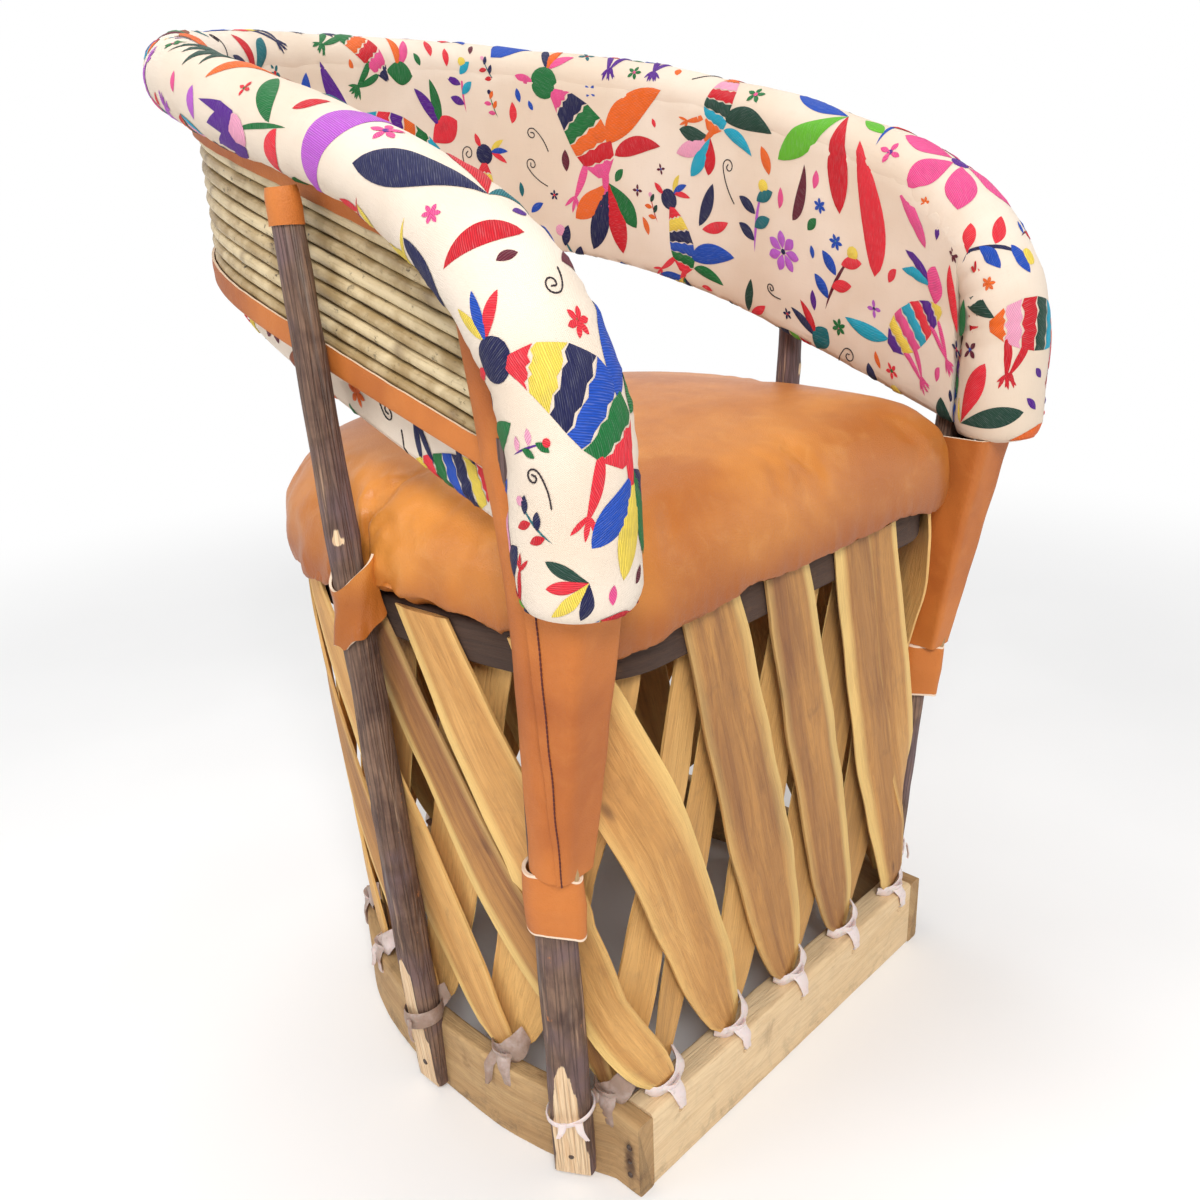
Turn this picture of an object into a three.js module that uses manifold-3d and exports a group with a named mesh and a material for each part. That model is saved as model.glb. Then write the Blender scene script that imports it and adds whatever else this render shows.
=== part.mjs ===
// Equipale armchair. A barrel of crossed wood slats stands on a base board and a bent base hoop.
// Pole posts stand outside it and carry a cane back and a padded roll that runs round the back and
// down both arms. A leather seat lies on the bent seat hoop at the top of the barrel.
// Millimetres, +Z up. The front faces -Y, and left is -X, as the chair is seen from its front.
// The origin is the middle of the chair's bounding box, on the floor.

import * as THREE from "three";
import { mergeVertices } from "three/addons/utils/BufferGeometryUtils.js";
import Module from "manifold-3d";

const wasm = await Module();
wasm.setup();

// Gap between two pieces that touch
const fit = 0.3;

// Base: a sawn board across the front, and a hoop nailed over its ends
const board = { length: 368, height: 67, thickness: 25, edge: 1.2 };
const hoop = { wall: 16, height: 66, half: 226, widestAt: 150, backAt: 437, squareness: 2.55 };

// Bent ring that the slats' heads are tied to, as wide as the base hoop
const seatHoop = {
  thickness: 12,
  height: 31,
  top: 439.5,
  frontWider: 13.7,
  frontAt: 14,
  corner: 60,
  widestAt: 190,
  backNearer: 20,
  squareness: 2.5,
};

// Padded roll: how much wider and deeper than the base hoop its centreline runs, its heights above
// the seat hoop, and its thickness
const roll = {
  wider: 24.3,
  frontWider: 46.8,
  frontAt: -15,
  widestAt: 200,
  backFurther: 69,
  squareness: 2.51,
  backAbove: 360.5,
  slope: 0.292,
  elbowAt: 159,
  dropsAbove: 119.5,
  endAbove: 48.5,
  radius: 25.3,
  frontRadius: 33.2,
  thickShare: 0.2,
  thinShare: 0.35,
};

// Bent rod inside the roll, with a shaved end that is tied in front of the front post
const rail = { radius: 10, exitRadius: 7.5, tipRadius: 4, tipAbove: 12 };

// Cane back: reeds side by side, with leather along the upper and lower edges
const reeds = {
  count: 10,
  thickness: 10,
  pitch: 10.2,
  inset: 9.2,
  below: 36,
  valley: 2.4,
  flatFromShare: 0.25,
  frontAt: 44,
};
const binding = { thickness: 2.2, upperHeight: 15, lowerHeight: 15, lip: 9 };

// Padded lining of the back, from the roll down to its own sloping lower edge
const lining = { thickness: 10, backBelow: 150, slope: 0.37, hem: 5, frontAt: 14 };

// Posts: where the axis stands outside the hoop at the foot, and where it ends by the roll's
// centreline, given by how far below that line the head is.
const frontPost = {
  standOff: 4.7,
  at: 53,
  headOut: 5.7,
  headAt: 22,
  headBelow: 43.1,
  footRadius: 16.2,
  headRadius: 9.5,
  sawnAt: 8,
  shavedFrom: 135,
  shavedDepth: 9,
};
const sidePost = {
  standOff: 3.8,
  at: 203,
  headOut: 15.4,
  headAt: 199,
  headBelow: 17.1,
  footRadius: 13.8,
  headRadius: 9.5,
  sawnAt: 6,
  shavedFrom: 150,
  shavedDepth: 8,
};
const backPost = {
  standOff: 8,
  headOut: 11,
  bendBelow: 170,
  headBelow: 22,
  footRadius: 14,
  headRadius: 9.5,
  sawnAt: 6,
  shavedFrom: 150,
  shavedDepth: 8,
};

// Leather on the front posts. The sheath's corners are given outwards and forwards of the post axis.
const sheath = { gap: 0.4, footHeight: 292 };
const sheathTop = {
  seamOut: 20.5,
  seamForward: 19,
  creaseOut: 13.5,
  creaseForward: 54,
  innerOut: 32,
  innerForward: 50,
  rearOut: 30,
  rearForward: 3,
};
const sheathFoot = {
  seamOut: 15.3,
  seamForward: 22,
  creaseOut: 10,
  creaseForward: 26.5,
  innerOut: 16.7,
  innerForward: 24.5,
  rearOut: 14.7,
  rearForward: 8,
};
const band = { bottom: 243, height: 48.5, wall: 3, swell: 1.2 };
const strip = {
  width: 27,
  thickness: 2.6,
  curl: 4.5,
  forward: 8,
  topAt: 52,
  topOut: 8,
  topBelow: 6,
};

// Stuffed cushion under the seat leather, by how much it reaches over the base hoop
const seat = {
  wider: 31,
  frontWider: 39.7,
  frontAt: -19,
  corner: 58,
  widestAt: 205,
  backFurther: 3,
  squareness: 2.6,
  height: 79,
  middleAt: 205,
};

// Slats of the barrel: two to each tie, an outer one that leans one way and an inner one the other
const slat = {
  width: 66,
  widthVaries: 6,
  thickness: 5,
  bevel: 3,
  baseInset: 13,
  baseCorner: 30,
  parting: 3.2,
  lean: 104,
  lift: 6.2,
  topBelow: 1.5,
};
const ties = { frontPitch: 80, sideFrom: 38, sidePitch: 87, sideCount: 4, backCount: 3 };

// Numbers of steps along and around the forms
const steps = {
  side: 10,
  arc: 40,
  corner: 6,
  elbow: 8,
  drop: 3,
  arm: 17,
  roll: 14,
  bore: 6,
  panel: 34,
  ring: 48,
  post: 10,
  rise: 6,
  search: 30,
  sheath: 4,
  band: 20,
  strip: 10,
};
const weld = 1e-4;

// How a post thins towards its head
const postTaperPower = 1.6;
// Heights of the band's rings, and places across the strip from its middle
const bandShares = [0, 0.15, 0.5, 0.85, 1];
const stripShares = [-1, -0.5, 0, 0.5, 1];

// Shares of a slat's full width at heights between its foot and its head
const slatHeightShares = [0, 0.07, 0.2, 0.42, 0.66, 0.91, 1];
const slatWidthShares = [0.34, 0.66, 0.9, 1, 0.98, 0.9, 0.82];
// The most of the distance to the next slat that a slat may fill, and the height where it is widest
const slatRoomShare = 0.93;
const slatWidestShare = 0.42;
// The last tie before a front corner, whose outer slat is laid over the next one: how much of its lift
// it has at each height, and how wide the slat tucked under it is beside the others
const cornerTie = 2;
const slatLiftShares = [0, 0.9, 1, 0.35, 0, 0, 0];
const slatTuckedShare = 0.86;
// How quickly the widths of the outer and the inner slats change from one to the next
const outerWave = 1.3;
const innerWave = 1.7;
// How far each outer slat leans, from the middle of the front round by the left side
const outerLeanShares = [
  1, 1.32, 1.52, 1.78, 1.72, 1.66, 1.6, 1.53, 1.46, 1.39, 1.32, 1.25, 1.18, 1.12, 1.06, 1, 0.96, 0.96, 0.97,
];

// The cushion's profile: how far each ring is drawn in towards the middle, and its height
const cushionInShares = [0.7, 0.06, 0.015, 0, 0.012, 0.045, 0.11, 0.22, 0.4, 0.62, 0.84];
const cushionUpShares = [0, 0, 0.1, 0.27, 0.5, 0.67, 0.8, 0.9, 0.96, 0.99, 1];

// A row of places round half a plan, from the front of the left side to the middle of the back.
// The back is a superellipse. The side runs straight back for a while, then swells to the widest place.
function halfPlan({ half, frontHalf, frontAt, straight, widestAt, backAt, squareness }) {
  const row = straight > 0 ? [new THREE.Vector3(-frontHalf, frontAt, 0)] : [];
  const swellsFrom = frontAt + straight;
  for (let i = 0; i < steps.side; i += 1) {
    const share = 1 - i / steps.side;
    const x = half - (half - frontHalf) * share ** 2;
    row.push(new THREE.Vector3(-x, widestAt - (widestAt - swellsFrom) * share, 0));
  }
  for (let i = steps.arc; i >= 0; i -= 1) {
    const angle = (i / steps.arc) * (Math.PI / 2);
    const x = half * Math.max(Math.sin(angle), 0) ** (2 / squareness);
    const y = (backAt - widestAt) * Math.max(Math.cos(angle), 0) ** (2 / squareness);
    row.push(new THREE.Vector3(-x, widestAt + y, 0));
  }
  return row;
}

const mirrored = (point) => new THREE.Vector3(-point.x, point.y, point.z);

// A plan that is open at the front, from the left front end round to the right one
function openPlan(plan) {
  const left = halfPlan(plan);
  return [...left, ...left.slice(0, -1).reverse().map(mirrored)];
}

// A closed plan with a straight front and round front corners, from the middle of the front
function closedPlan(plan) {
  const { frontHalf, frontAt, corner } = plan;
  const centre = new THREE.Vector3(corner - frontHalf, frontAt + corner, 0);
  const left = [new THREE.Vector3(0, frontAt, 0)];
  for (let i = 0; i < steps.corner; i += 1) {
    const angle = (i / steps.corner) * (Math.PI / 2);
    const reach = new THREE.Vector3(-Math.sin(angle), -Math.cos(angle), 0);
    left.push(reach.multiplyScalar(corner).add(centre));
  }
  left.push(...halfPlan({ ...plan, frontAt: frontAt + corner }));
  return [...left, ...left.slice(1, -1).reverse().map(mirrored)];
}

// Measures a plan: gives its length, and the place and outward side at a distance along it
function ruler(row, closed) {
  const points = closed ? [...row, row[0]] : row;
  const reach = [0];
  for (let i = 1; i < points.length; i += 1) {
    reach.push(reach[i - 1] + points[i].distanceTo(points[i - 1]));
  }
  const last = points.length - 1;
  const outward = points.map((point, i) => {
    const before = i > 0 ? points[i - 1] : closed ? points[last - 1] : point;
    const after = i < last ? points[i + 1] : closed ? points[1] : point;
    const along = after.clone().sub(before);
    return new THREE.Vector3(-along.y, along.x, 0).normalize();
  });
  const length = reach[last];
  const at = (distance) => {
    const wrapped = closed ? ((distance % length) + length) % length : distance;
    let i = 1;
    while (i < last && reach[i] < wrapped) i += 1;
    const share = (wrapped - reach[i - 1]) / (reach[i] - reach[i - 1]);
    const point = points[i - 1].clone().lerp(points[i], share);
    const out = outward[i - 1].clone().lerp(outward[i], share).normalize();
    return { point, out };
  };
  // The distance at which the left side passes a given y
  const distanceAt = (y) => {
    const i = points.findIndex((point, k) => k > 0 && point.x < 0 && point.y >= y);
    const share = (y - points[i - 1].y) / (points[i].y - points[i - 1].y);
    return reach[i - 1] + (reach[i] - reach[i - 1]) * share;
  };
  return { length, at, distanceAt };
}

const offset = (place, out, z) => place.point.clone().addScaledVector(place.out, out).setZ(z);

// Triangles that close a flat ring, in the ring's own order
function capFaces(ring) {
  const normal = new THREE.Vector3();
  ring.forEach((point, i) => {
    const from = point.clone().sub(ring[0]);
    const to = ring[(i + 1) % ring.length].clone().sub(ring[0]);
    normal.add(from.cross(to));
  });
  normal.normalize();
  const across = ring[1].clone().sub(ring[0]).normalize();
  const up = normal.clone().cross(across);
  const flat = ring.map((point) => new THREE.Vector2(point.dot(across), point.dot(up)));
  return THREE.ShapeUtils.triangulateShape(flat, []).map(([a, b, c]) => {
    const turn = flat[b].clone().sub(flat[a]).cross(flat[c].clone().sub(flat[a]));
    return turn < 0 ? [a, c, b] : [a, b, c];
  });
}

// Skins a row of rings that hold as many points each, and closes it with caps or end to end
function loft(rings, closed = false) {
  const size = rings[0].length;
  const points = rings.flat();
  const faces = [];
  rings.forEach((ring, i) => {
    if (i === rings.length - 1 && !closed) return;
    const start = i * size;
    const next = ((i + 1) % rings.length) * size;
    for (let j = 0; j < size; j += 1) {
      const k = (j + 1) % size;
      faces.push([start + j, start + k, next + k], [start + j, next + k, next + j]);
    }
  });
  if (!closed) {
    const end = (rings.length - 1) * size;
    capFaces(rings[0]).forEach(([a, b, c]) => faces.push([a, c, b]));
    capFaces(rings[rings.length - 1]).forEach(([a, b, c]) => faces.push([end + a, end + b, end + c]));
  }
  const volume = faces.reduce((sum, [a, b, c]) => sum + points[a].dot(points[b].clone().cross(points[c])), 0);
  const index = volume < 0 ? faces.map(([a, b, c]) => [a, c, b]) : faces;
  const geometry = new THREE.BufferGeometry().setFromPoints(points);
  geometry.setIndex(index.flat());
  return geometry;
}

// A three.js geometry as a solid that can be joined and cut
function solidOf(geometry) {
  const bare = geometry.index ? geometry.toNonIndexed() : geometry.clone();
  bare.deleteAttribute("normal");
  bare.deleteAttribute("uv");
  const merged = mergeVertices(bare, weld);
  const vertProperties = new Float32Array(merged.attributes.position.array);
  const triVerts = new Uint32Array(merged.index.array);
  return new wasm.Manifold(new wasm.Mesh({ numProp: 3, vertProperties, triVerts }));
}

// A solid back as a three.js geometry
function geometryOf(solid) {
  const { vertProperties, triVerts } = solid.getMesh();
  const geometry = new THREE.BufferGeometry();
  geometry.setAttribute("position", new THREE.BufferAttribute(vertProperties, 3));
  geometry.setIndex(new THREE.BufferAttribute(triVerts, 1));
  return geometry;
}

const cut = (solid, ...tools) => tools.flat(2).reduce((rest, tool) => rest.subtract(tool), solid);

// A geometry seen in a mirror through the middle of the chair
function mirrorGeometry(geometry) {
  const copy = geometry.clone().scale(-1, 1, 1);
  const index = [...copy.index.array];
  for (let i = 0; i < index.length; i += 3) [index[i + 1], index[i + 2]] = [index[i + 2], index[i + 1]];
  copy.setIndex(index);
  return copy;
}

const bothSides = (geometry) => [geometry, mirrorGeometry(geometry)];

// Round rings along a path of places, each with its point and its horizontal outward side
function tubeRings(path, radiusAt, sides) {
  return path.map(({ point, out }, i) => {
    const before = path[Math.max(i - 1, 0)].point;
    const after = path[Math.min(i + 1, path.length - 1)].point;
    const along = after.clone().sub(before).normalize();
    const side = out.clone().addScaledVector(along, -out.dot(along)).normalize();
    const up = side.clone().cross(along);
    const radius = radiusAt(i);
    return Array.from({ length: sides }, (_, k) => {
      const angle = ((k + 0.5) / sides) * 2 * Math.PI;
      const turned = side.clone().multiplyScalar(Math.cos(angle) * radius);
      return turned.addScaledVector(up, Math.sin(angle) * radius).add(point);
    });
  });
}

// Plans of the chair. The base hoop lies straight along the board's ends before it swells.
const hoopFrontHalf = board.length / 2 + fit + hoop.wall;
const hoopPlan = { ...hoop, frontHalf: hoopFrontHalf, frontAt: 0, straight: board.thickness };
const rollPlan = {
  ...roll,
  half: hoop.half + roll.wider,
  frontHalf: hoopFrontHalf + roll.frontWider,
  straight: 0,
  backAt: hoop.backAt + roll.backFurther,
};
const seatHoopPlan = {
  ...seatHoop,
  half: hoop.half,
  frontHalf: hoopFrontHalf + seatHoop.frontWider,
  straight: 0,
  backAt: hoop.backAt - seatHoop.backNearer,
};
const seatPlan = {
  ...seat,
  half: hoop.half + seat.wider,
  frontHalf: hoopFrontHalf + seat.frontWider,
  straight: 0,
  backAt: hoop.backAt + seat.backFurther,
};
const hoopRuler = ruler(openPlan(hoopPlan), false);
const rollRuler = ruler(openPlan(rollPlan), false);
const rollMiddle = rollRuler.length / 2;
const rollArc = rollMiddle - rollRuler.distanceAt(roll.widestAt);

// Heights of the roll's centreline at the back and in its down stretches
const rollBackHeight = seatHoop.top + roll.backAbove;
const rollDropsFrom = seatHoop.top + roll.dropsAbove;
const rollLowerEnd = seatHoop.top + roll.endAbove;

// Height of a line that is level at the middle of the back and falls at its full slope on the arms
function fallingHeight(backHeight, slope, distance) {
  const fromMiddle = Math.abs(distance - rollMiddle);
  const onArc = Math.min(fromMiddle, rollArc);
  return backHeight - (slope * onArc ** 2) / (2 * rollArc) - slope * (fromMiddle - onArc);
}

const rollLineHeight = (distance) => fallingHeight(rollBackHeight, roll.slope, distance);

// The roll's centreline: down stretch and elbow of each arm, then arms and back
function rollPath() {
  const elbowDistance = rollRuler.distanceAt(roll.elbowAt);
  const elbowHeight = rollLineHeight(elbowDistance);
  const corner = new THREE.Vector2(roll.frontAt, elbowHeight - roll.slope * (roll.elbowAt - roll.frontAt));
  const elbow = new THREE.QuadraticBezierCurve(
    new THREE.Vector2(roll.frontAt, rollDropsFrom),
    corner,
    new THREE.Vector2(roll.elbowAt, elbowHeight),
  );
  const front = [];
  for (let i = 0; i < steps.drop; i += 1) {
    const z = THREE.MathUtils.lerp(rollLowerEnd, rollDropsFrom, i / steps.drop);
    front.push(new THREE.Vector2(roll.frontAt, z));
  }
  front.push(...elbow.getPoints(steps.elbow).slice(0, -1));
  const left = front.map(({ x: y, y: z }) => {
    const place = rollRuler.at(y > roll.frontAt ? rollRuler.distanceAt(y) : 0);
    return { point: place.point.setZ(z), out: new THREE.Vector3(-1, 0, 0) };
  });
  for (let i = 0; i <= steps.arm; i += 1) {
    const distance = THREE.MathUtils.lerp(elbowDistance, rollMiddle, i / steps.arm);
    const place = rollRuler.at(distance);
    left.push({ point: place.point.setZ(rollLineHeight(distance)), out: place.out });
  }
  const right = left.slice(0, -1).reverse();
  return [...left, ...right.map(({ point, out }) => ({ point: mirrored(point), out: mirrored(out) }))];
}

const rollLine = rollPath();

// Height of the roll's centreline at a distance along its plan, elbows included
function rollHeight(distance) {
  const fromEnd = Math.min(distance, rollRuler.length - distance);
  const { y } = rollRuler.at(fromEnd).point;
  if (y >= roll.elbowAt) return rollLineHeight(distance);
  const i = rollLine.findIndex(({ point }, k) => k > steps.drop && point.y >= y);
  const before = rollLine[i - 1].point;
  const after = rollLine[i].point;
  return THREE.MathUtils.lerp(before.z, after.z, (y - before.y) / (after.y - before.y));
}

// Share of the way from the nearer front end to the middle of the back, for each place of a path
function sharesToMiddle(path) {
  const reach = [0];
  for (let i = 1; i < path.length; i += 1) {
    reach.push(reach[i - 1] + path[i].point.distanceTo(path[i - 1].point));
  }
  const half = reach[reach.length - 1] / 2;
  return reach.map((length) => Math.min(length, 2 * half - length) / half);
}

const rollShares = sharesToMiddle(rollLine);

function rollRadius(i) {
  const thin = THREE.MathUtils.clamp(
    (rollShares[i] - roll.thickShare) / (roll.thinShare - roll.thickShare),
    0,
    1,
  );
  return THREE.MathUtils.lerp(roll.frontRadius, roll.radius, thin);
}

const rollTube = (grow) => loft(tubeRings(rollLine, (i) => rollRadius(i) + grow, steps.roll));

// Posts: a straight or slightly bent pole, its foot shaved on the outer side
function postRadius(post, axis, z) {
  const share = z / axis.getPoint(1).z;
  return THREE.MathUtils.lerp(post.footRadius, post.headRadius, share ** postTaperPower);
}

function postGeometry(post, axis, facing, grow = 0) {
  const count = steps.post;
  const rings = [];
  const height = axis.getPoint(1).z;
  const levels = [post.sawnAt, post.shavedFrom / 2, post.shavedFrom];
  for (let i = 1; i <= steps.rise; i += 1) {
    levels.push(THREE.MathUtils.lerp(post.shavedFrom, height, i / steps.rise));
  }
  for (const z of levels) {
    const centre = placeOnAxis(axis, z);
    const radius = postRadius(post, axis, z) + grow;
    const shaved = Math.max(1 - z / post.shavedFrom, 0) * post.shavedDepth;
    rings.push(
      Array.from({ length: count }, (_, k) => {
        const angle = (k / count) * 2 * Math.PI;
        const reach = new THREE.Vector3(Math.cos(angle), Math.sin(angle), 0).multiplyScalar(radius);
        const beyond = Math.max(reach.dot(facing) - (radius - shaved), 0);
        return reach.addScaledVector(facing, -beyond).add(centre);
      }),
    );
  }
  return loft(rings);
}

// The point of a rising axis at a given height
function placeOnAxis(axis, z) {
  let low = 0;
  let high = 1;
  for (let i = 0; i < steps.search; i += 1) {
    const middle = (low + high) / 2;
    if (axis.getPoint(middle).z < z) low = middle;
    else high = middle;
  }
  return axis.getPoint((low + high) / 2).setZ(z);
}

const left = new THREE.Vector3(-1, 0, 0);
const back = new THREE.Vector3(0, 1, 0);

function sidePostAxis(post) {
  const foot = offset(hoopRuler.at(hoopRuler.distanceAt(post.at)), post.standOff, 0);
  const distance = rollRuler.distanceAt(post.headAt);
  const head = offset(rollRuler.at(distance), post.headOut, rollHeight(distance) - post.headBelow);
  return new THREE.CatmullRomCurve3([foot, head]);
}

const frontAxis = sidePostAxis(frontPost);
const sideAxis = sidePostAxis(sidePost);
const backAxis = new THREE.CatmullRomCurve3([
  new THREE.Vector3(0, hoop.backAt + backPost.standOff, 0),
  new THREE.Vector3(0, rollPlan.backAt + backPost.headOut, rollBackHeight - backPost.bendBelow),
  new THREE.Vector3(0, rollPlan.backAt + backPost.headOut, rollBackHeight - backPost.headBelow),
]);

// The rail follows the roll's centreline, leaves its lower end and runs down in front of the post
function railPath() {
  const tipHeight = band.bottom + rail.tipAbove;
  const postThere = placeOnAxis(frontAxis, tipHeight);
  const reach = frontPost.footRadius + fit + rail.tipRadius;
  const tip = new THREE.Vector3(postThere.x, postThere.y - reach, tipHeight);
  const exit = rollLine[0].point;
  const down = [];
  for (let i = 0; i < steps.drop; i += 1) {
    const share = i / steps.drop;
    const radius = THREE.MathUtils.lerp(rail.tipRadius, rail.exitRadius, share);
    down.push({ point: tip.clone().lerp(exit, share), out: left, radius });
  }
  const inside = rollLine.slice(0, Math.ceil(rollLine.length / 2)).map(({ point, out }, i) => ({
    point,
    out,
    radius: THREE.MathUtils.lerp(rail.exitRadius, rail.radius, Math.min(i / (steps.drop + steps.elbow), 1)),
  }));
  const half = [...down, ...inside];
  const right = half.slice(0, -1).reverse().map(({ point, out, radius }) => {
    return { point: mirrored(point), out: mirrored(out), radius };
  });
  return [...half, ...right];
}

const railLine = railPath();
const railTube = (grow) => loft(tubeRings(railLine, (i) => railLine[i].radius + grow, steps.bore));

// Sections swept along the roll's plan, from one front end to the other. A section is a list of
// [outward from the roll's centreline, height]. All share their stations, so that they nest.
function sweptSection(from, sectionAt) {
  const spacing = rollRuler.length / steps.panel;
  const distances = [from];
  for (let i = 1; i < steps.panel; i += 1) {
    const distance = i * spacing;
    const toEnd = Math.min(distance, rollRuler.length - distance) - from;
    if (toEnd > spacing / 2) distances.push(distance);
  }
  distances.push(rollRuler.length - from);
  const rings = distances.map((distance) => {
    const place = rollRuler.at(distance);
    return sectionAt(distance).map(([out, z]) => offset(place, out, z));
  });
  return loft(rings);
}

// Ten reeds tied side by side: a ribbed sheet with a ridge for each reed on both faces
function reedPanelGeometry() {
  const half = reeds.thickness / 2;
  const ridge = [
    [reeds.valley, 0],
    [half, reeds.flatFromShare],
    [half, 1 - reeds.flatFromShare],
  ];
  const faceOf = (side) => {
    const face = [];
    for (let reed = 0; reed < reeds.count; reed += 1) {
      for (const [out, share] of ridge) face.push([side * out, -(reed + share) * reeds.pitch]);
    }
    face.push([side * reeds.valley, -reeds.count * reeds.pitch]);
    return face;
  };
  const outline = [...faceOf(1), ...faceOf(-1).reverse()];
  return sweptSection(rollRuler.distanceAt(reeds.frontAt), (distance) => {
    const top = rollLineHeight(distance) - reeds.below;
    return outline.map(([out, down]) => [out - reeds.inset, top + down]);
  });
}

const reedFace = reeds.thickness / 2 - reeds.inset;
const reedFoot = reeds.below + reeds.count * reeds.pitch;

function upperBindingGeometry() {
  const inner = reedFace + fit;
  const outer = inner + binding.thickness;
  return sweptSection(rollRuler.distanceAt(reeds.frontAt), (distance) => {
    const line = rollLineHeight(distance);
    const top = line - roll.radius / 2;
    const bottom = line - reeds.below - binding.upperHeight / 2;
    return [
      [outer, top],
      [outer, bottom],
      [inner, bottom],
      [inner, top],
    ];
  });
}

// The lower binding turns in under the last reed
function lowerBindingGeometry() {
  const inner = reedFace + fit;
  const outer = inner + binding.thickness;
  const lipEnd = inner - binding.lip;
  return sweptSection(rollRuler.distanceAt(reeds.frontAt), (distance) => {
    const foot = rollLineHeight(distance) - reedFoot - fit;
    const top = foot + binding.lowerHeight;
    const bottom = foot - binding.thickness;
    return [
      [outer, top],
      [outer, bottom],
      [lipEnd, bottom],
      [lipEnd, foot],
      [inner, foot],
      [inner, top],
    ];
  });
}

function liningGeometry(grow = 0) {
  const outer = -reeds.inset - reeds.thickness / 2 - fit + grow;
  const inner = outer - lining.thickness - 2 * grow;
  const from = rollRuler.distanceAt(lining.frontAt - grow);
  return sweptSection(from, (distance) => {
    const top = rollHeight(distance) - lining.hem;
    const bottom = fallingHeight(rollBackHeight - lining.backBelow, lining.slope, distance) - grow;
    return [
      [outer, top],
      [outer, bottom + lining.hem],
      [outer - lining.hem / 2, bottom],
      [inner + lining.hem / 2, bottom],
      [inner, bottom + lining.hem],
      [inner, top],
    ];
  });
}

// Leather on a front post
function sheathOutline(z, grow) {
  const axis = placeOnAxis(frontAxis, z);
  const top = rollLowerEnd - sheath.gap;
  const share = (z - sheath.footHeight) / (top - sheath.footHeight);
  const size = (name) => THREE.MathUtils.lerp(sheathFoot[name], sheathTop[name], share) + grow;
  const corner = (out, forward) => new THREE.Vector3(axis.x - out, axis.y - forward, z);
  return [
    corner(size("seamOut"), size("seamForward") - 2 * grow),
    corner(size("creaseOut"), size("creaseForward")),
    corner(-size("innerOut"), size("innerForward")),
    corner(-size("rearOut"), size("rearForward") - 2 * grow),
  ];
}

function sheathGeometry(grow = 0) {
  const top = rollLowerEnd - sheath.gap;
  const rings = [];
  for (let i = 0; i <= steps.sheath; i += 1) {
    const z = THREE.MathUtils.lerp(sheath.footHeight - grow, top + grow, i / steps.sheath);
    rings.push(sheathOutline(z, grow));
  }
  return loft(rings);
}

// Outline of a strap drawn tight round two circles
function strapOutline(circles, z, count) {
  return Array.from({ length: count }, (_, k) => {
    const angle = (k / count) * 2 * Math.PI;
    const way = new THREE.Vector3(Math.cos(angle), Math.sin(angle), 0);
    const reach = circles.map(({ centre, radius }) => centre.clone().addScaledVector(way, radius).setZ(z));
    return reach.reduce((best, point) => (point.dot(way) > best.dot(way) ? point : best));
  });
}

function bandGeometry() {
  const rings = bandShares.map((share) => {
    const z = band.bottom + band.height * share;
    const swell = band.wall + band.swell * (1 - Math.abs(2 * share - 1));
    const post = { centre: placeOnAxis(frontAxis, z), radius: frontPost.footRadius + swell };
    const forward = frontPost.footRadius + rail.tipRadius + fit;
    const tip = { centre: post.centre.clone().setY(post.centre.y - forward), radius: rail.tipRadius + swell };
    return strapOutline([post, tip], z, steps.band);
  });
  return loft(rings);
}

// The strip runs up the outside of the post and on over the reeds' front ends to the roll
function stripGeometry(grow = 0) {
  const low = band.bottom + band.height + sheath.gap;
  const onPost = (z) => {
    const axis = placeOnAxis(frontAxis, z);
    return new THREE.Vector3(axis.x - postRadius(frontPost, frontAxis, z) - fit, axis.y - strip.forward, z);
  };
  const middle = (low + rollLowerEnd) / 2;
  const topHeight = rollHeight(rollRuler.distanceAt(strip.topAt)) - strip.topBelow;
  const top = new THREE.Vector3(-rollPlan.half - strip.topOut, strip.topAt, topHeight);
  const curve = new THREE.CatmullRomCurve3([onPost(low), onPost(middle), onPost(rollLowerEnd), top]);
  const rings = curve.getPoints(steps.strip).map((point, i, all) => {
    const before = all[Math.max(i - 1, 0)];
    const after = all[Math.min(i + 1, all.length - 1)];
    const along = after.clone().sub(before).normalize();
    const across = left.clone().cross(along).normalize();
    const face = (depth, half) =>
      stripShares.map((share) => {
        const drawn = depth - strip.curl * share ** 2;
        return point.clone().addScaledVector(across, share * half).addScaledVector(left, drawn);
      });
    const half = strip.width / 2 + grow;
    return [...face(strip.thickness + grow, half), ...face(-grow, half).reverse()];
  });
  return loft(rings);
}

// Base board, with its long edges eased
function boardGeometry() {
  const { height, thickness, edge } = board;
  const outline = new THREE.Shape();
  outline.moveTo(edge, 0);
  outline.lineTo(thickness - edge, 0);
  outline.lineTo(thickness, edge);
  outline.lineTo(thickness, height - edge);
  outline.lineTo(thickness - edge, height);
  outline.lineTo(edge, height);
  outline.lineTo(0, height - edge);
  outline.lineTo(0, edge);
  outline.closePath();
  const geometry = new THREE.ExtrudeGeometry(outline, { depth: board.length, bevelEnabled: false });
  // The outline's x runs back from the front face and its y runs up, so the length lies along X
  const turn = new THREE.Matrix4().makeBasis(back, new THREE.Vector3(0, 0, 1), new THREE.Vector3(1, 0, 0));
  return geometry.applyMatrix4(turn).translate(-board.length / 2, 0, 0);
}

function hoopGeometry(grow = 0) {
  const rings = [];
  for (let i = 0; i <= steps.ring; i += 1) {
    const place = hoopRuler.at((hoopRuler.length * i) / steps.ring);
    rings.push([
      offset(place, grow, -grow),
      offset(place, grow, hoop.height + grow),
      offset(place, -hoop.wall, hoop.height + grow),
      offset(place, -hoop.wall, -grow),
    ]);
  }
  return loft(rings);
}

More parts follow.
